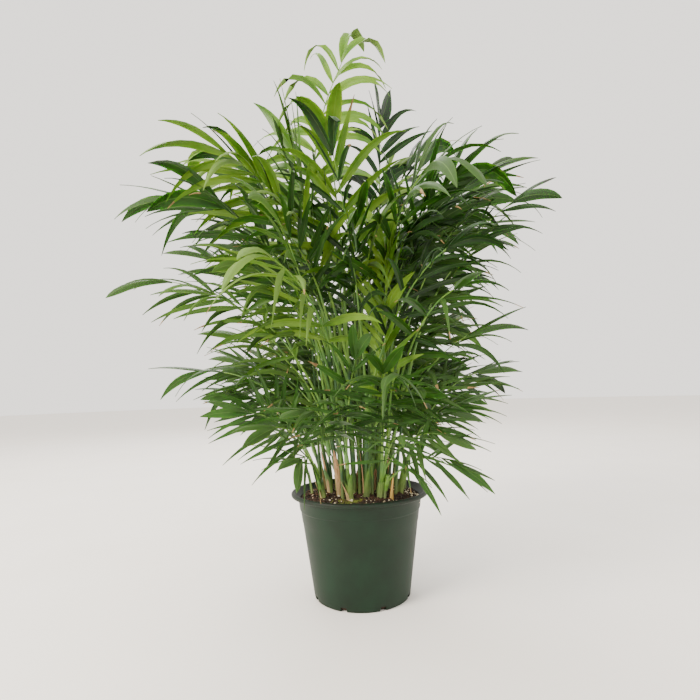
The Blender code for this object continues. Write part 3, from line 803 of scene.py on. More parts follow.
# The real canes are a little slimmer than the solids, and step in where each sheath ends
STEM_RINGS, STEM_SIDES = 72, 12
SLIM = 0.88
SHEATH_STEP, STEP_FADE = 0.00035, 0.25
SHEATH_ENDS = ((0.10, 0.25), (0.35, 0.55), (0.65, 0.85))
SWELL, SWELL_WAVES = 0.03, (20, 40)
STEM_SHARES, STEM_SINK = (0, 0.06, 1), 0.004
draw = random.Random(3)
stem_rings = []
for plant in plants:
    middles = smooth_path(plant["stem"], STEM_RINGS)
    share = np.linspace(0, 1, STEM_RINGS)
    radii = (STEM_FOOT_RADIUS, STEM_RADIUS, STEM_TIP_RADIUS)
    radii = SLIM * np.interp(share, STEM_SHARES, radii)
    for edge in [draw.uniform(*ends) for ends in SHEATH_ENDS]:
        fade = np.exp(-(edge - share).clip(0) / STEP_FADE)
        radii = radii + np.where(share < edge, SHEATH_STEP, 0) * fade
    radii = radii * (1 + SWELL * np.sin(share * draw.uniform(*SWELL_WAVES) + draw.uniform(0, 6)))
    middles[0] -= (0, 0, STEM_SINK)
    stem_rings.append(tube_rings(middles, radii, STEM_SIDES))
points, faces = skin(np.array(stem_rings))

# Living sheath tissue: waxy and smooth, with fine ribs along it. Some canes are yellower, some
# bluer, and the foot is bleached where the mix kept it in the dark. The ribs are drawn two or
# three times as coarse as real ones, or they wouldn't show.
RIB_WIDTH, RIB_LENGTH, PATCH_SIZE = 0.001111, 0.0417, 0.0238
FOOT_PALE_HEIGHT = 0.032
BLEACHED = "#9CA068"


def cane_material(name, low, high, cool, pale_share, roughness):
    """A ribbed finish from one colour to another, with cooler patches and a bleached foot."""
    made, tree, shader = new_material(name, Roughness=roughness, IOR=1.45)
    place = add_node(tree, "TexCoord").outputs["Object"]
    rib_scale = (1 / RIB_WIDTH, 1 / RIB_WIDTH, 1 / RIB_LENGTH)
    along_cane = add_node(tree, "Mapping", {"Scale": rib_scale}, {"Vector": place})
    ribs = add_node(
        tree, "TexNoise", {"Scale": 1.0, "Detail": 3.0}, {"Vector": along_cane.outputs["Vector"]}
    )
    tones = ((0.30, low), (0.70, high))
    shade = add_node(tree, "ValToRGB", links={"Fac": ribs.outputs["Fac"]}, ramp=tones)
    drift = add_node(tree, "TexNoise", {"Scale": 1 / PATCH_SIZE, "Detail": 1.0}, {"Vector": place})
    cooler = add_node(
        tree, "MapRange", {"From Min": 0.45, "From Max": 0.62}, {"Value": drift.outputs["Fac"]}
    )
    mixed = add_node(
        tree,
        "Mix",
        {"data_type": "RGBA", 7: colour(cool)},
        {0: cooler.outputs["Result"], 6: shade.outputs["Color"]},
    )
    level = add_node(tree, "SeparateXYZ", links={"Vector": place})
    pale = add_node(
        tree,
        "MapRange",
        {
            "From Min": soil_edge + HEAP,
            "From Max": SOIL_LEVEL + FOOT_PALE_HEIGHT,
            "To Min": pale_share,
            "To Max": 0.0,
        },
        {"Value": level.outputs["Z"]},
    )
    bleached = add_node(
        tree,
        "Mix",
        {"data_type": "RGBA", 7: colour(BLEACHED)},
        {0: pale.outputs["Result"], 6: mixed.outputs[2]},
    )
    tree.links.new(bleached.outputs[2], shader.inputs["Base Color"])
    bump = add_node(tree, "Bump", {"Strength": 0.4, "Distance": 0.0003}, {"Height": ribs.outputs["Fac"]})
    tree.links.new(bump.outputs["Normal"], shader.inputs["Normal"])
    return made


cane = cane_material("waxy_green_cane", "#23450D", "#52751E", "#294C26", 0.38, 0.45)
stems = joined_piece("stems", points, faces, [cane], "stem_skin", sharp=40)
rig.replaces(stems, *[f"stem_{number + 1:02d}" for number in range(len(plants))])


# Leaf sheaths: what is left of each cane's first leaves clasps its foot. The living ones are
# pale green and end in a point. The dead ones have dried to tan paper and peel away from it.
SHEATH_PLIES = 0.0004
SHEATH_RINGS = 16
SHEATH_TAPER, SHEATH_POINT = 2.4, 0.05
FINE_POINTS = 400
ACROSS_OUTSIDE = np.array([-1.0, -0.5, 0.0, 0.5, 1.0])
ACROSS_INSIDE = np.array([0.5, 0.0, -0.5])


def sheath_rings(path, radius, turn, arc, peel):
    """Rings of a channel that clasps a path and narrows to a point, which stands off from it."""
    ways = unit(np.gradient(path, axis=0))
    side = np.array((math.cos(turn), math.sin(turn), 0.0))
    rings = []
    for middle, way, share in zip(path, ways, np.linspace(0, 1, len(path))):
        side = side - way * (side @ way)
        side = side / np.linalg.norm(side)
        other = np.cross(way, side)
        spread = math.radians(arc) * (1 - share**SHEATH_TAPER) + SHEATH_POINT
        outside = radius + SHEATH_PLIES
        angles = np.concatenate([ACROSS_OUTSIDE, ACROSS_INSIDE]) * spread
        reach = np.concatenate([np.full(5, outside), np.full(3, radius)])[:, None]
        arms = np.outer(np.cos(angles), side) + np.outer(np.sin(angles), other)
        rings.append(middle + side * peel * share**2 + arms * reach)
    return rings


def stretch(path, low, high, count):
    """This many points of the smooth path between two of its shares."""
    fine, last = smooth_path(path, FINE_POINTS), FINE_POINTS - 1
    return fine[np.linspace(last * low, last * high, count).round().astype(int)]


# How each kind clasps its cane: how long it is, the share of the cane that it stays below, how
# far it stands off, how many degrees it reaches round to either side, and how far it peels
LIVING = dict(
    length=(0.018, 0.050), top=0.92, standoff=(0.0001, 0.0003), arc=(95, 150), peel=(0.0006, 0.0022)
)
DEAD = dict(
    length=(0.020, 0.060), top=0.95, standoff=(0.0003, 0.0007), arc=(28, 75), peel=(0.0010, 0.0060)
)
# Where they start: the living ones in metres over the foot, the dead ones as a share of the cane
LIVING_FEET, DEAD_FEET = (0.0, 0.010), (0.0, 0.15)


def clasp(plant, low, kind, draw):
    """Rings of a sheath of this kind that starts at a share of its plant's stem."""
    high = min(kind["top"], low + draw.uniform(*kind["length"]) / plant["height"])
    path = stretch(plant["stem"], low, high, SHEATH_RINGS)
    radius = SLIM * STEM_FOOT_RADIUS + draw.uniform(*kind["standoff"])
    arc = draw.uniform(*kind["arc"])
    return sheath_rings(path, radius, draw.uniform(0, ANY_WAY), arc, draw.uniform(*kind["peel"]))


draw = random.Random(21)
green_rings, paper_rings = [], []
for plant in plants:
    for _ in range(2):
        low = draw.uniform(*LIVING_FEET) / plant["height"]
        green_rings.append(clasp(plant, low, LIVING, draw))
    for _ in range(draw.choice((0, 1, 1))):
        paper_rings.append(clasp(plant, draw.uniform(*DEAD_FEET), DEAD, draw))
# Strips that have come off stand or lean in the mix
LOOSE_STRIPS, STRIP_RADIUS, STRIP_BEND, STRIP_PEEL = 9, 0.0016, 0.003, 0.001
STRIP_RINGS, STRIP_LEANS, STRIP_LENGTHS = (0.015, 0.048), (2, 30), (0.025, 0.065)
STRIP_SINK, STRIP_ARCS = 0.003, (30, 60)
for _ in range(LOOSE_STRIPS):
    azimuth, ring = draw.uniform(0, 360), draw.uniform(*STRIP_RINGS)
    foot = heading(90, azimuth) * ring + UP * (SOIL_LEVEL - STRIP_SINK)
    way = heading(draw.uniform(*STRIP_LEANS), draw.uniform(0, 360))
    tip = foot + way * draw.uniform(*STRIP_LENGTHS)
    bend = foot.lerp(tip, 0.5) + heading(90, draw.uniform(0, 360)) * STRIP_BEND
    path = stretch([foot, bend, tip], 0.0, 1.0, SHEATH_RINGS)
    turn, arc = draw.uniform(0, ANY_WAY), draw.uniform(*STRIP_ARCS)
    paper_rings.append(sheath_rings(path, STRIP_RADIUS, turn, arc, STRIP_PEEL))
points, faces = skin(np.array(green_rings))
pale_cane = cane_material("pale_green_sheath", "#335D14", "#6F9238", "#406632", 0.46, 0.48)
joined_piece("sheaths_green", points, faces, [pale_cane], "stem_skin", sharp=50)
points, faces = skin(np.array(paper_rings))
paper_skin = cane_material("papery_dead_sheath", "#8A6844", "#C9A97C", "#A07A58", 0.30, 0.75)
joined_piece("sheaths_papery", points, faces, [paper_skin], "stem_skin", sharp=50)

# The one new shoot that stands free at the front, rolled to a point and still orange, and the
# short green ones beside other canes
SPEAR_PLACE, SPEAR_HEIGHT, SPEAR_RADIUS = (0.035, -0.045), 0.028, 0.0021
GREEN_SHOOTS, SHOOT_RINGS, SHOOT_POINT = 9, 20, 0.0003
SHOOT_PLACES, SHOOT_HEIGHTS, SHOOT_RADII = (0.030, 0.056), (0.018, 0.055), (0.0013, 0.0020)
SHOOT_SHARES, SHOOT_LEAN, SHOOT_BEND, SHOOT_BURIED = (0, 0.3, 1), 0.08, 0.02, 0.005
shoots = [(SPEAR_PLACE, SPEAR_HEIGHT, SPEAR_RADIUS)]
for _ in range(GREEN_SHOOTS):
    azimuth, ring = draw.uniform(0, 360), draw.uniform(*SHOOT_PLACES)
    spot = heading(90, azimuth) * ring
    height, radius = draw.uniform(*SHOOT_HEIGHTS), draw.uniform(*SHOOT_RADII)
    shoots.append(((spot.x, spot.y), height, radius))
shoot_rings = []
for (x, y), height, radius in shoots:
    foot = Vector((x, y, SOIL_LEVEL))
    tip = foot + UP * (height + HEAP + SHOOT_BURIED) + Vector((x, y, 0.0)) * SHOOT_LEAN
    bend = foot.lerp(tip, 0.5) + Vector((y, -x, 0.0)) * SHOOT_BEND
    share = np.linspace(0, 1, SHOOT_RINGS)
    radii = np.interp(share, SHOOT_SHARES, (radius, radius, SHOOT_POINT))
    shoot_rings.append(tube_rings(smooth_path([foot, bend, tip], SHOOT_RINGS), radii, 8))
amber = cane_material("amber_new_shoot", "#B5762A", "#D8B154", "#C28F3A", 0.35, 0.45)
points, faces = skin(np.array(shoot_rings[:1]))
joined_piece("shoot_amber", points, faces, [amber], "stem_skin", sharp=50)
points, faces = skin(np.array(shoot_rings[1:]))
joined_piece("shoots_green", points, faces, [pale_cane], "stem_skin", sharp=50)


# Petioles and midribs: each frond hangs on one tapering rib that starts inside its stem's
# sheath, rises and arches over. It is green like the cane, and stiff nearly to its tip.
SIDE_FRONDS = (1, 4, 6, 9, 11, 13, 15, 17, 20, 22)
SIDE_HEIGHT = 0.62
SIDE_LENGTH = 0.85
SIDE_LEANS = (12, 10)
SIDE_GAP = 0.0005
SHEATH_RADIUS = 0.0028
SHEATH_LENGTH = 0.011
SHEATH_SAMPLES = 8
PAIR_SAMPLES = 28
TUBE_SIDES = 6
MIDRIB_FOOT_RADIUS = 0.0024
MIDRIB_POINTS = 8
BEND_POWER = 1.7


def frond_path(foot, length, leans, azimuth):
    """A frond rises steeply and then arches over, more and more towards its tip."""
    path = [foot]
    steps = MIDRIB_POINTS - 1
    for step in range(steps):
        bend = ((step + 0.5) / steps) ** BEND_POWER
        way = heading(between(leans, bend), azimuth)
        path.append(path[-1] + way * (length / steps))
    return path


def grow_frond(limbs, name, seat, along, frond, kin):
    """The midrib of one frond that starts inside the sheath at `seat`."""
    azimuth, length, leans = frond
    foot = seat + along * (0.5 * SHEATH_LENGTH)

    def way_out(way):
        return frond_path(foot, length, leans, way)

    return limbs.settle(way_out, azimuth, MIDRIB_FOOT_RADIUS, name, kin)


def grow_fronds(plants, limbs):
    """The nodes that hold fronds: a pair on top of each stem, and single ones at some sides."""
    nodes = []
    for number, plant in enumerate(plants):
        name, stem = f"fronds_{number + 1:02d}", plant["stem"]
        along = (stem[-1] - stem[-2]).normalized()
        seat = stem[-1] + along * GAP
        kin = {name: PAIR_SAMPLES, f"stem_{number + 1:02d}": SHEATH_SAMPLES}
        midribs = [grow_frond(limbs, name, seat, along, frond, kin) for frond in plant["fronds"]]
        nodes.append(dict(name=name, number=number, seat=seat, along=along, midribs=midribs))
    for number in SIDE_FRONDS:
        plant = plants[number]
        name, stem = f"side_frond_{number + 1:02d}", plant["stem"]
        place = 1 + SIDE_HEIGHT * (len(stem) - 2)
        start, end = stem[int(place)], stem[int(place) + 1]
        along = (end - start).normalized()
        azimuth, length, leans = plant["fronds"][0]
        azimuth += FROND_SPREAD * (-1) ** number
        leans = (leans[0] + SIDE_LEANS[0], leans[1] + SIDE_LEANS[1])
        level = heading(90, azimuth)
        out = (level - along * level.dot(along)).normalized()
        offset = 0.5 * (1 + math.cos(math.pi / TUBE_SIDES)) * (STEM_RADIUS + SHEATH_RADIUS)
        seat = start.lerp(end, place % 1) + out * (offset + SIDE_GAP)
        frond = (azimuth, length * SIDE_LENGTH, leans)
        kin = {f"stem_{number + 1:02d}": SHEATH_SAMPLES}
        midribs = [grow_frond(limbs, name, seat, along, frond, kin)]
        nodes.append(dict(name=name, number=number, seat=seat, along=along, midribs=midribs))
    return nodes


# The fronds between those of the solids, by the same rule: plants, fronds on each, how far each
# turns from its plant, places on the stem, lengths, leans at foot and tip, and whose leaflets
MORE_FRONDS = (
    (range(8), 1, 75, (0.80, 0.98), (0.20, 0.27), (6, 20), (34, 72), TALL),
    (range(16), 1, 75, (0.30, 0.80), (0.14, 0.21), (8, 22), (45, 85), MIDDLE),
    (range(8, 24), 1, 75, (0.55, 0.95), (0.09, 0.13), (18, 36), (60, 95), SKIRT),
    ((1, 2, 3, 9, 10, 11), 4, 40, (0.20, 0.75), (0.11, 0.17), (8, 28), (45, 85), SKIRT),
)
MORE_SAMPLES = 24
THIN_SHARE = 0.6
# Headings that point at the viewer, and the longest that a frond in between grows there, unless
# its leaflets are a tall plant's: the canes show through at the front.
FRONT = (225, 315)
MOST_IN_FRONT = 0.12


def grow_more(plants, limbs, draw):
    """Thinner fronds between the others, wherever they find a clear way out of the clump."""
    grown = []
    for numbers, count, turn, places, lengths, foot_leans, tip_leans, tier in MORE_FRONDS:
        for number in numbers:
            for _ in range(count):
                foot = Vector(stretch(plants[number]["stem"], draw.uniform(*places), 1.0, 2)[0])
                azimuth = plants[number]["azimuth"] + draw.uniform(-turn, turn)
                length = draw.uniform(*lengths)
                leans = (draw.uniform(*foot_leans), draw.uniform(*tip_leans))
                heads_front = FRONT[0] < azimuth % 360 < FRONT[1]
                if tier is not TALL and heads_front and length > MOST_IN_FRONT:
                    continue

                def way_out(way):
                    return frond_path(foot, length, leans, way)

                own = f"{number + 1:02d}"
                name = f"more_{own}"
                kin = {kind + own: MORE_SAMPLES for kind in ("stem_", "fronds_", "side_frond_", "more_")}
                try:
                    midrib = limbs.settle(
                        way_out, azimuth, THIN_SHARE * MIDRIB_FOOT_RADIUS, name, kin
                    )
                except ValueError:
                    continue
                grown.append(dict(number=number, midribs=[midrib], tier=tier))
    return grown


# Seedlings that came up late between the others, thin and short of light, with one frond each
SEEDLINGS, SEEDLING_TRIES, SEEDLING_RADIUS = 18, 90, 0.0017
SEEDLING = dict(
    ring=(0.004, 0.050), height=(0.10, 0.20), lean=(2, 12), length=(0.13, 0.20),
    foot_lean=(8, 20), tip_lean=(45, 80),
)


def grow_seedlings(limbs, draw):
    """Late seedlings, each with its cane and one frond, wherever both find a clear way."""
    grown = []
    for number in range(SEEDLING_TRIES):
        azimuth = draw.uniform(0, 360)
        ring, height, lean, length, *leans = (draw.uniform(*ends) for ends in SEEDLING.values())
        foot = heading(90, azimuth) * ring + UP * (SOIL_LEVEL + GAP)

        def way_up(way):
            return stem_path(foot, height, lean, way)

        def way_out(way):
            return frond_path(cane_path[-1], length, leans, way)

        try:
            name = f"seedling_{number}"
            cane_path, azimuth = limbs.settle(way_up, azimuth, SEEDLING_RADIUS, name, {})
            midrib = limbs.settle(way_out, azimuth, SEEDLING_RADIUS, name, {name: MORE_SAMPLES})
        except ValueError:
            continue
        grown.append(dict(cane=cane_path, midribs=[midrib], tier=MIDDLE))
        if len(grown) == SEEDLINGS:
            break
    return grown


# The fronds that stand up and show their flat side to the front: plant, place on its stem,
# azimuth, length, leans at foot and tip, where the frond faces, whose leaflets, and its shade.
# One is a short young frond like a herringbone, and one has few and broad leaflets.
FISHTAIL = dict(leaflet=0.078, width=0.0250, spacing=0.0175)
SHORT = dict(leaflet=0.060, width=0.0165, spacing=0.0115, limp=0.35)
UPRIGHT_FRONDS = (
    (22, 0.60, 285, 0.262, (12, 6), 272, SHORT, "lime"),
    (5, 0.60, 196, 0.320, (6, 10), 262, TALL, "fresh"),
    (1, 0.85, 30, 0.330, (4, 2), 280, FISHTAIL, "shaded"),
    (6, 0.75, 230, 0.240, (3, 20), 270, MIDDLE, "mature"),
    (7, 0.80, 10, 0.290, (10, 20), 285, TALL, "mature"),
)
# The topmost frond shows its flat side too, and its long leaflets arch
TOP = dict(leaflet=0.096, width=0.0240, spacing=0.0160, limp=1.9)
TOP_NODE, TOP_FACING = "fronds_05", 290

frond_nodes = grow_fronds(plants, limbs)
for node in frond_nodes:
    node["tier"] = plants[node["number"]]["tier"]
    if node["name"] == TOP_NODE:
        node["tier"] = TOP
        node["midribs"][0] = (node["midribs"][0][0], TOP_FACING)
upright = []
for number, place, azimuth, length, leans, facing, tier, shade in UPRIGHT_FRONDS:
    foot = Vector(stretch(plants[number]["stem"], place, 1.0, 2)[0])
    path = frond_path(foot, length, leans, azimuth)
    limbs.add(path, MIDRIB_FOOT_RADIUS, f"more_{number + 1:02d}")
    upright.append(dict(number=number, midribs=[(path, facing)], tier=tier, shade=shade))
more = grow_more(plants, limbs, random.Random(31))
seedlings = grow_seedlings(limbs, random.Random(41))
more += seedlings

MIDRIB_RINGS, MIDRIB_SIDES = 36, 8
SEEDLING_SHARES, SEEDLING_RADII = (0, 0.1, 1), (0.0026, 0.0019, 0.0014)
MIDRIB_SHARES, MIDRIB_RADII = (0, 0.08, 0.40, 1), (0.0023, 0.0018, 0.0013, 0.0005)
COLLAR_SINK, COLLAR_RISE, COLLAR_RADII = 0.004, 0.003, (0.0024, 0.0031, 0.0022)
share = np.linspace(0, 1, MIDRIB_RINGS)
radii = np.interp(share, SEEDLING_SHARES, SEEDLING_RADII)
cane_paths = [smooth_path(node["cane"], MIDRIB_RINGS) for node in seedlings]
points, faces = skin(np.array([tube_rings(path, radii, MIDRIB_SIDES) for path in cane_paths]))
joined_piece("seedling_canes", points, faces, [cane], "stem_skin", sharp=60)

rib_rings = []
for node in frond_nodes + more + upright:
    radii = node["tier"].get("stout", 1.0) * np.interp(share, MIDRIB_SHARES, MIDRIB_RADII)
    for path, azimuth in node["midribs"]:
        side = np.array(heading(90, azimuth + 90))
        rib_rings.append(tube_rings(smooth_path(path, MIDRIB_RINGS), radii, MIDRIB_SIDES, side))
# The collar of sheath round the foot of each frond
for node in frond_nodes:
    rises = np.linspace(-COLLAR_SINK, SHEATH_LENGTH + COLLAR_RISE, MIDRIB_RINGS)
    middles = np.array(node["seat"]) + np.array(node["along"]) * rises[:, None]
    radii = np.interp(rises, (0, COLLAR_RISE, SHEATH_LENGTH + COLLAR_RISE), COLLAR_RADII)
    rib_rings.append(tube_rings(middles, radii, MIDRIB_SIDES))
points, faces = skin(np.array(rib_rings))
rib_skin = cane_material("waxy_green_midrib", "#44701E", "#7CA03C", "#507A38", 0.0, 0.40)
midribs = joined_piece("midribs", points, faces, [rib_skin], "stem_skin", sharp=60)


# Leaflets: thin, pleated, pointed blades in two rows along each midrib, with a broad pair like
# a fish's tail at its end. They droop under their own weight and are darker the older they are.
PETIOLE_SHARE = 0.40
LEAFLET_SIZES = (0.80, 1.08)
SIZE_SWELL = (0.20, 0.92)
LEAFLET_ANGLES = (58, 27)
LEAFLET_LIFT = 16
FROND_ROLL = 55
PATH_POINTS = 121
LEAST_PAIRS = 4
ROW_START, ROW_SPAN = 0.02, 0.97
NARROW_SHARE = 0.75
# Fronds of the solids that come toward the viewer have their pairs further apart, and larger
# fronds that reach out to the sides lack every third pair: the photograph shows gaps there
FRONT_EDGE, FRONT_SPACING = -0.05, 1.6
OUTWARD, OPEN_EVERY = 0.74, 3
# How leaflets differ from one another: the least and the most of each draw
FANS, ROOT_STRAYS, VIGOURS = (-8, 10), (-0.012, 0.012), (0.90, 1.04)
LENGTH_DRAWS, WIDTH_DRAWS = (0.92, 1.18), (0.75, 1.2)
ANGLE_STRAYS, LIFT_STRAYS = (-13, 13), (-28, 30)
POINTS, WIDEST_PLACES = (1.2, 1.9), (0.32, 0.46)
SAGS, SICKLES, TWISTS = (0.4, 1.6), (-0.10, 0.40), (-0.7, 0.7)
LIMP_CHANCE, LIMP = 0.14, 2.0
# The broad pair at the end of a frond
END_ANGLES, END_WIDENINGS = (12, 20), (1.6, 2.3)
END_POINTS, END_WIDEST_PLACES = (1.6, 3.5), (0.45, 0.62)
LEAFLET_SHARES = np.array([0, 0.04, 0.11, 0.20, 0.31, 0.43, 0.56, 0.69, 0.81, 0.91, 1.0])
BLADE_THICKNESS = 0.0005
FOOT_WIDTH, LEAST_HALF_WIDTH = 0.14, 0.00025
FOLD, FOLD_LOSS = 0.60, 0.40
PLEAT = 0.05
SHOULDER_POWER, SAG_POWER = 2.2, 1.6
WIDTH_SHARE = 0.50
ACROSS_TOP = np.array([1.0, 0.5, 0.0, -0.5, -1.0])
ACROSS_BACK = np.array([-0.5, 0.0, 0.5])
BLADE_RING = len(ACROSS_TOP) + len(ACROSS_BACK)


def blade_width(share, widest, point):
    """Width of a leaflet, as a share of its widest, from a narrow foot to a drawn-out tip."""
    rising = 1 - (1 - (share / widest).clip(0, 1)) ** SHOULDER_POWER
    falling = 1 - ((share - widest) / (1 - widest)).clip(0, 1) ** point
    return FOOT_WIDTH * (1 - share) + (1 - FOOT_WIDTH) * rising * falling


def leaflet_rings(leaflets):
    """Rings of points of all leaflets at once. Each leaflet is a row of named values."""
    columns = {key: np.array([leaf[key] for leaf in leaflets], float) for key in leaflets[0]}
    share = LEAFLET_SHARES[None, :, None]
    root, along, face, tangent = (
        columns[key][:, None, :] for key in ("root", "along", "face", "tangent")
    )
    length, width, sag, sickle, twist, widest, point = (
        columns[key][:, None, None]
        for key in ("length", "width", "sag", "sickle", "twist", "widest", "point")
    )
    ways = unit(along - np.array(UP) * sag * share**SAG_POWER + tangent * sickle * share)
    steps = np.diff(LEAFLET_SHARES)[None, :, None] * length
    run = np.cumsum(0.5 * (ways[:, 1:] + ways[:, :-1]) * steps, axis=1)
    middles = root + np.concatenate([np.zeros_like(run[:, :1]), run], axis=1)
    across = np.cross(face, along)
    across = unit(across - ways * np.sum(across * ways, axis=-1, keepdims=True))
    above = np.cross(ways, across)
    turn = twist * share
    cosine, sine = np.cos(turn), np.sin(turn)
    across, above = across * cosine + above * sine, above * cosine - across * sine
    half = np.maximum(0.5 * width * blade_width(share, widest, point), LEAST_HALF_WIDTH)
    fold = half * (FOLD - FOLD_LOSS * share)
    rings = []
    for sides, thick in ((ACROSS_TOP, 0.5), (ACROSS_BACK, -0.5)):
        for side in sides:
            skin_lift = thick * BLADE_THICKNESS * (abs(side) < 1)
            lift = fold * abs(side) + PLEAT * width * (abs(side) == 0.5) * (1 - share) + skin_lift
            rings.append(middles + across * half * side + above * lift)
    return np.stack(rings, axis=2)


def aim_leaflet(tangent, outward, above, angle, lift):
    """Which way a leaflet points and which way its upper side faces, from angles in degrees."""
    turn, lift = math.radians(angle), math.radians(lift)
    raised = outward * math.cos(lift) + above * math.sin(lift)
    along = tangent * math.cos(turn) + raised * math.sin(turn)
    face = above * math.cos(lift) - outward * math.sin(lift)
    face = face - along * (face @ along)
    return along / np.linalg.norm(along), face / np.linalg.norm(face)


def grow_leaflets(node, draw):
    """The leaflets of one node's fronds, foot to tip, as rows of named values."""
    tier = node["tier"]
    rows = []
    for path, azimuth in node["midribs"]:
        middles = smooth_path(path, PATH_POINTS)
        ways = unit(np.gradient(middles, axis=0))
        reach = np.linalg.norm(np.diff(middles, axis=0), axis=1).sum() * (1 - PETIOLE_SHARE)
        heads_front = FRONT[0] < azimuth % 360 < FRONT[1] and path[-1].y < FRONT_EDGE
        heads_out = abs(math.cos(math.radians(azimuth))) > OUTWARD and tier in (TALL, MIDDLE)
        spacing = tier["spacing"]
        if heads_front and "name" in node:
            spacing = spacing * FRONT_SPACING
        pairs = max(LEAST_PAIRS, round(reach / spacing))
        fan = draw.uniform(*FANS)
        roll = math.radians(draw.uniform(-FROND_ROLL, FROND_ROLL))
        flat = np.array(heading(90, azimuth + 90))
        vigour = draw.uniform(*VIGOURS)
        for pair in range(pairs + 1):
            row = pair / pairs
            for side in (1, -1):
                spot = between((PETIOLE_SHARE, 1), ROW_START + ROW_SPAN * row)
                spot = min(spot + draw.uniform(*ROOT_STRAYS), 1.0)
                index = min(PATH_POINTS - 1, round((PATH_POINTS - 1) * spot))
                tangent = ways[index]
                level = flat * math.cos(roll) + np.cross(flat, tangent) * math.sin(roll)
                swell = math.sin(math.pi * between(SIZE_SWELL, row))
                length = tier["leaflet"] * vigour * between(LEAFLET_SIZES, swell)
                length = length * draw.uniform(*LENGTH_DRAWS)
                width = tier["width"] * WIDTH_SHARE * between((NARROW_SHARE, 1), swell)
                width = width * draw.uniform(*WIDTH_DRAWS)
                angle = between(tier.get("angles", LEAFLET_ANGLES), row) + fan
                angle = angle + draw.uniform(*ANGLE_STRAYS)
                point, widest = draw.uniform(*POINTS), draw.uniform(*WIDEST_PLACES)
                if pair == pairs:
                    angle, width = draw.uniform(*END_ANGLES), width * draw.uniform(*END_WIDENINGS)
                    point, widest = draw.uniform(*END_POINTS), draw.uniform(*END_WIDEST_PLACES)
                lift = LEAFLET_LIFT + draw.uniform(*LIFT_STRAYS)
                above = np.cross(level, tangent)
                along, face = aim_leaflet(tangent, level * side, above, angle, lift)
                limp = tier.get("limp", LIMP if draw.random() < LIMP_CHANCE else 1.0)
                leaflet = dict(
                    root=middles[index],
                    along=along,
                    face=face,
                    tangent=tangent,
                    length=length,
                    width=width,
                    sag=draw.uniform(*SAGS) * limp,
                    sickle=draw.uniform(*SICKLES),
                    twist=side * draw.uniform(*TWISTS) * min(limp, 1.0),
                    widest=widest,
                    point=point,
                )
                if not (heads_out and pair % OPEN_EVERY == 1 and pair < pairs):
                    rows.append(leaflet)
    return rows


# Living leaf: a thin cuticle with a soft shine over parallel veins. New blades are bright
# lime, old ones deep green, and the underside is paler. Some tips have dried to straw.
# A blade has about nine ridges across. A wave of so many radians draws them.
VEIN_COLOUR, RIDGE_WAVE = "#8FB85E", 56.0
UPPER_ROUGHNESS, UNDER_ROUGHNESS = 0.40, 0.55
LEAF_PATCH_SIZE, WEAR_SIZE = 0.0385, 0.003333


def leaf_material(name, low, high, roughness):
    """A leaf's finish between two greens, with a pale middle vein and ridges along the blade."""
    made, tree, shader = new_material(
        name,
        IOR=1.45,
        Specular_IOR_Level=0.27,
        Subsurface_Weight=0.12,
        Subsurface_Scale=0.002,
        Subsurface_Radius=(0.5, 1.0, 0.10),
    )
    coordinates = add_node(tree, "TexCoord")
    place = coordinates.outputs["Object"]
    patches = add_node(
        tree, "TexNoise", {"Scale": 1 / LEAF_PATCH_SIZE, "Detail": 3.0}, {"Vector": place}
    )
    greens = ((0.34, low), (0.66, high))
    shade = add_node(tree, "ValToRGB", links={"Fac": patches.outputs["Fac"]}, ramp=greens)
    across = add_node(tree, "SeparateXYZ", links={"Vector": coordinates.outputs["UV"]})
    offset = add_node(tree, "Math", {"operation": "SUBTRACT", 1: 0.5}, {0: across.outputs["X"]})
    away = add_node(tree, "Math", {"operation": "ABSOLUTE"}, {0: offset.outputs["Value"]})
    vein = add_node(
        tree,
        "MapRange",
        {"From Min": 0.010, "From Max": 0.04, "To Min": 0.16, "To Max": 0.0},
        {"Value": away.outputs["Value"]},
    )
    veined = add_node(
        tree,
        "Mix",
        {"data_type": "RGBA", 7: colour(VEIN_COLOUR)},
        {0: vein.outputs["Result"], 6: shade.outputs["Color"]},
    )
    tree.links.new(veined.outputs[2], shader.inputs["Base Color"])
    fine = add_node(tree, "TexNoise", {"Scale": 1 / WEAR_SIZE, "Detail": 3.0}, {"Vector": place})
    worn = add_node(
        tree,
        "MapRange",
        {"To Min": roughness - 0.08, "To Max": roughness + 0.10},
        {"Value": fine.outputs["Fac"]},
    )
    tree.links.new(worn.outputs["Result"], shader.inputs["Roughness"])
    ridges = add_node(
        tree, "Math", {"operation": "MULTIPLY", 1: RIDGE_WAVE}, {0: across.outputs["X"]}
    )
    ridged = add_node(tree, "Math", {"operation": "SINE"}, {0: ridges.outputs["Value"]})
    bump = add_node(
        tree, "Bump", {"Strength": 0.07, "Distance": 0.0002}, {"Height": ridged.outputs["Value"]}
    )
    tree.links.new(bump.outputs["Normal"], shader.inputs["Normal"])
    return made


# Each shade: its slot, two greens of the upper side, and the underside
SHADES = {
    "lime": ("leaf_young", "#3E6412", "#678727", "#5B7630"),
    "fresh": ("leaf_mature", "#2C4F0D", "#476B1A", "#456225"),
    "mature": ("leaf_mature", "#173407", "#284B0E", "#2F491B"),
    "shaded": ("leaf_mature", "#0D2307", "#19360F", "#213918"),
    "deep": ("leaf_deep", "#1C3B0C", "#305716", "#3A5427"),
}
NODE_SHADES = {
    "fronds_01": "mature",
    "fronds_02": "shaded",
    "fronds_03": "shaded",
    "fronds_04": "fresh",
    "fronds_06": "mature",
    "fronds_08": "mature",
}
MATURE_SHADES = ("fresh", "mature", "mature", "shaded")
DRY_TIP_SHARE, DRY_WIDTH = 0.16, 0.010
BACK_FIRST = len(ACROSS_TOP) - 1
straw = grain_material("dried_leaf_tip", "#6B5230", "#9A7E4C", 0.7)
draw = random.Random(7)
sprays = {shade: [] for shade in SHADES}
stood_for = {shade: [] for shade in SHADES}
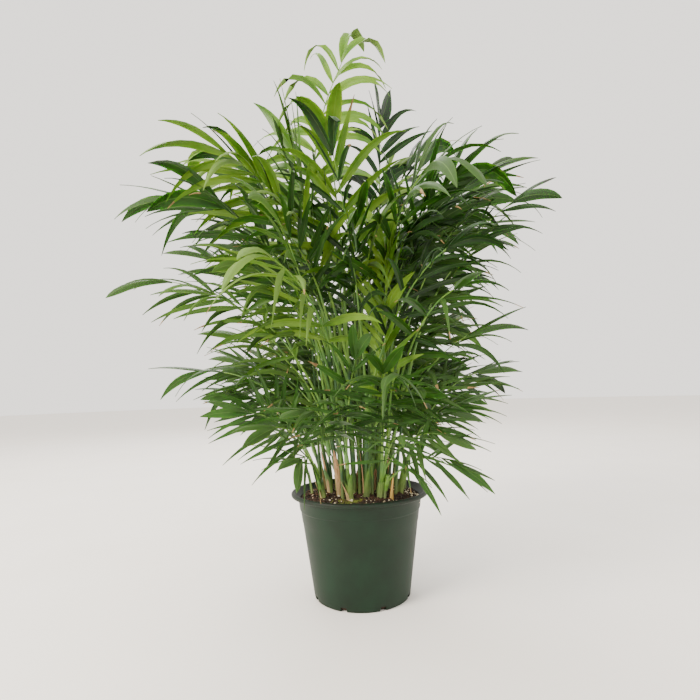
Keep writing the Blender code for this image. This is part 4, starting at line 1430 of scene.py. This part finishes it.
for node in frond_nodes:
    number, name = node["number"], node["name"]
    if number in YOUNG_PLANTS:
        shade = "lime"
    elif plants[number]["tier"] is SKIRT:
        shade = "deep"
    else:
        shade = NODE_SHADES.get(name) or draw.choice(MATURE_SHADES)
    sprays[shade] += grow_leaflets(node, draw)
    stood_for[shade].append(name)
for node in more:
    sprays[draw.choice(node["tier"]["shades"])] += grow_leaflets(node, draw)
for node in upright:
    sprays[node["shade"]] += grow_leaflets(node, draw)
along, around = len(LEAFLET_SHARES), BLADE_RING
side_quads = (along - 1) * around
per_leaf = len(ring_quads(along, around))
# The UV map: x across the blade and y along it
blade_across = 0.5 + 0.5 * np.concatenate([ACROSS_TOP, ACROSS_BACK])
blade_grid = np.broadcast_arrays(blade_across[None, :], LEAFLET_SHARES[:, None])
blade_uv = np.stack(blade_grid, axis=-1).reshape(-1, 2)
for shade, (slot, low, high, back) in SHADES.items():
    rows = sprays[shade]
    points, faces = skin(leaflet_rings(rows))
    kinds = np.zeros((len(rows), per_leaf), int)
    for ring in range(along - 1):
        kinds[:, ring * around + BACK_FIRST : (ring + 1) * around] = 1
    for index, leaflet in enumerate(rows):
        if draw.random() < DRY_TIP_SHARE and leaflet["width"] < DRY_WIDTH:
            kinds[index, side_quads - draw.choice((1, 1, 2)) * around : side_quads] = 2
            kinds[index, side_quads + around // 2 - 1 :] = 2
    top_skin = leaf_material(f"leaf_{shade}", low, high, UPPER_ROUGHNESS)
    back_skin = leaf_material(f"leaf_{shade}_underside", back, back, UNDER_ROUGHNESS)
    piece = joined_piece(
        f"leaflets_{shade}",
        points,
        faces,
        [top_skin, back_skin, straw],
        slot,
        kinds=kinds.ravel(),
        uv=np.tile(blade_uv, (len(rows), 1)),
    )
    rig.replaces(piece, *stood_for[shade])


# The floor: a plain sheet of pale matt paper that the pot stands on, under soft studio light. It
# reflects nothing, and is faintly mottled.
FLOOR_RADIUS, MOTTLE_SIZE = 9.0, 0.167
bpy.ops.object.select_all(action="DESELECT")
bpy.ops.mesh.primitive_circle_add(vertices=128, radius=FLOOR_RADIUS, fill_type="NGON")
floor = bpy.context.object
floor.name = "floor"
paper, tree, shader = new_material("pale_matt_paper", Roughness=0.9)
place = add_node(tree, "TexCoord").outputs["Object"]
fibres = add_node(tree, "TexNoise", {"Scale": 1 / MOTTLE_SIZE, "Detail": 3.0}, {"Vector": place})
whites = ((0.0, "#EDE8E0"), (1.0, "#F4F0EA"))
shade = add_node(tree, "ValToRGB", links={"Fac": fibres.outputs["Fac"]}, ramp=whites)
tree.links.new(shade.outputs["Color"], shader.inputs["Base Color"])
floor.data.materials.append(paper)
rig.stage(floor)

# Most of the light comes evenly from all round, so that leaves in the shade still show
SKY_COLOUR, SKY_STRENGTH = "#FFFAF3", 1.9
world = bpy.data.worlds.new("studio")
world.use_nodes = True
world.node_tree.nodes["Background"].inputs["Color"].default_value = colour(SKY_COLOUR)
world.node_tree.nodes["Background"].inputs["Strength"].default_value = SKY_STRENGTH
bpy.context.scene.world = world

# Each lamp: name, place, size, watts and tint. All are aimed at the middle of the plant.
LAMP_AIM = Vector((0, 0, 0.35))
LAMPS = (
    ("key", (-1.7, -1.4, 1.7), 1.2, 115.0, "#FFF6EA"),
    ("fill", (1.7, -1.2, 1.0), 1.4, 10.0, "#F4F6FF"),
    ("back", (-0.4, 1.6, 2.0), 1.6, 45.0, "#FFFFFF"),
)
for name, spot, size, watts, tint in LAMPS:
    lamp = bpy.data.lights.new(name, "AREA")
    lamp.shape, lamp.size, lamp.energy, lamp.color = "DISK", size, watts, colour(tint)[:3]
    holder = bpy.data.objects.new(name, lamp)
    bpy.context.scene.collection.objects.link(holder)
    aim = LAMP_AIM - Vector(spot)
    holder.matrix_world = Matrix.Translation(spot) @ aim.to_track_quat("-Z", "Y").to_matrix().to_4x4()

# The camera: where the photograph was taken from, in the pot's own frame. It looks up a little.
FOCAL_PIXELS, PICTURE_PIXELS = 489.0, 700.0
CAMERA_PLACE = (-0.0065, -0.604, 0.240)
PITCH, ROLL = math.radians(4.7), math.radians(1.7)
camera = bpy.data.cameras.new("camera")
camera.sensor_width = 36.0
camera.lens = FOCAL_PIXELS / PICTURE_PIXELS * camera.sensor_width
look = Vector((0, math.cos(PITCH), math.sin(PITCH)))
right = look.cross(UP).normalized()
top = right.cross(look)
rolled_right = right * math.cos(ROLL) - top * math.sin(ROLL)
rolled_top = right * math.sin(ROLL) + top * math.cos(ROLL)
view = Matrix((rolled_right, rolled_top, -look)).transposed().to_4x4()
eye = bpy.data.objects.new("camera", camera)
bpy.context.scene.collection.objects.link(eye)
eye.matrix_world = Matrix.Translation(CAMERA_PLACE) @ view
bpy.context.scene.camera = eye

with open("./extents.json", "w") as size_file:
    json.dump([[list(corner) for corner in box] for box in (cad_box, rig.bounds())], size_file)
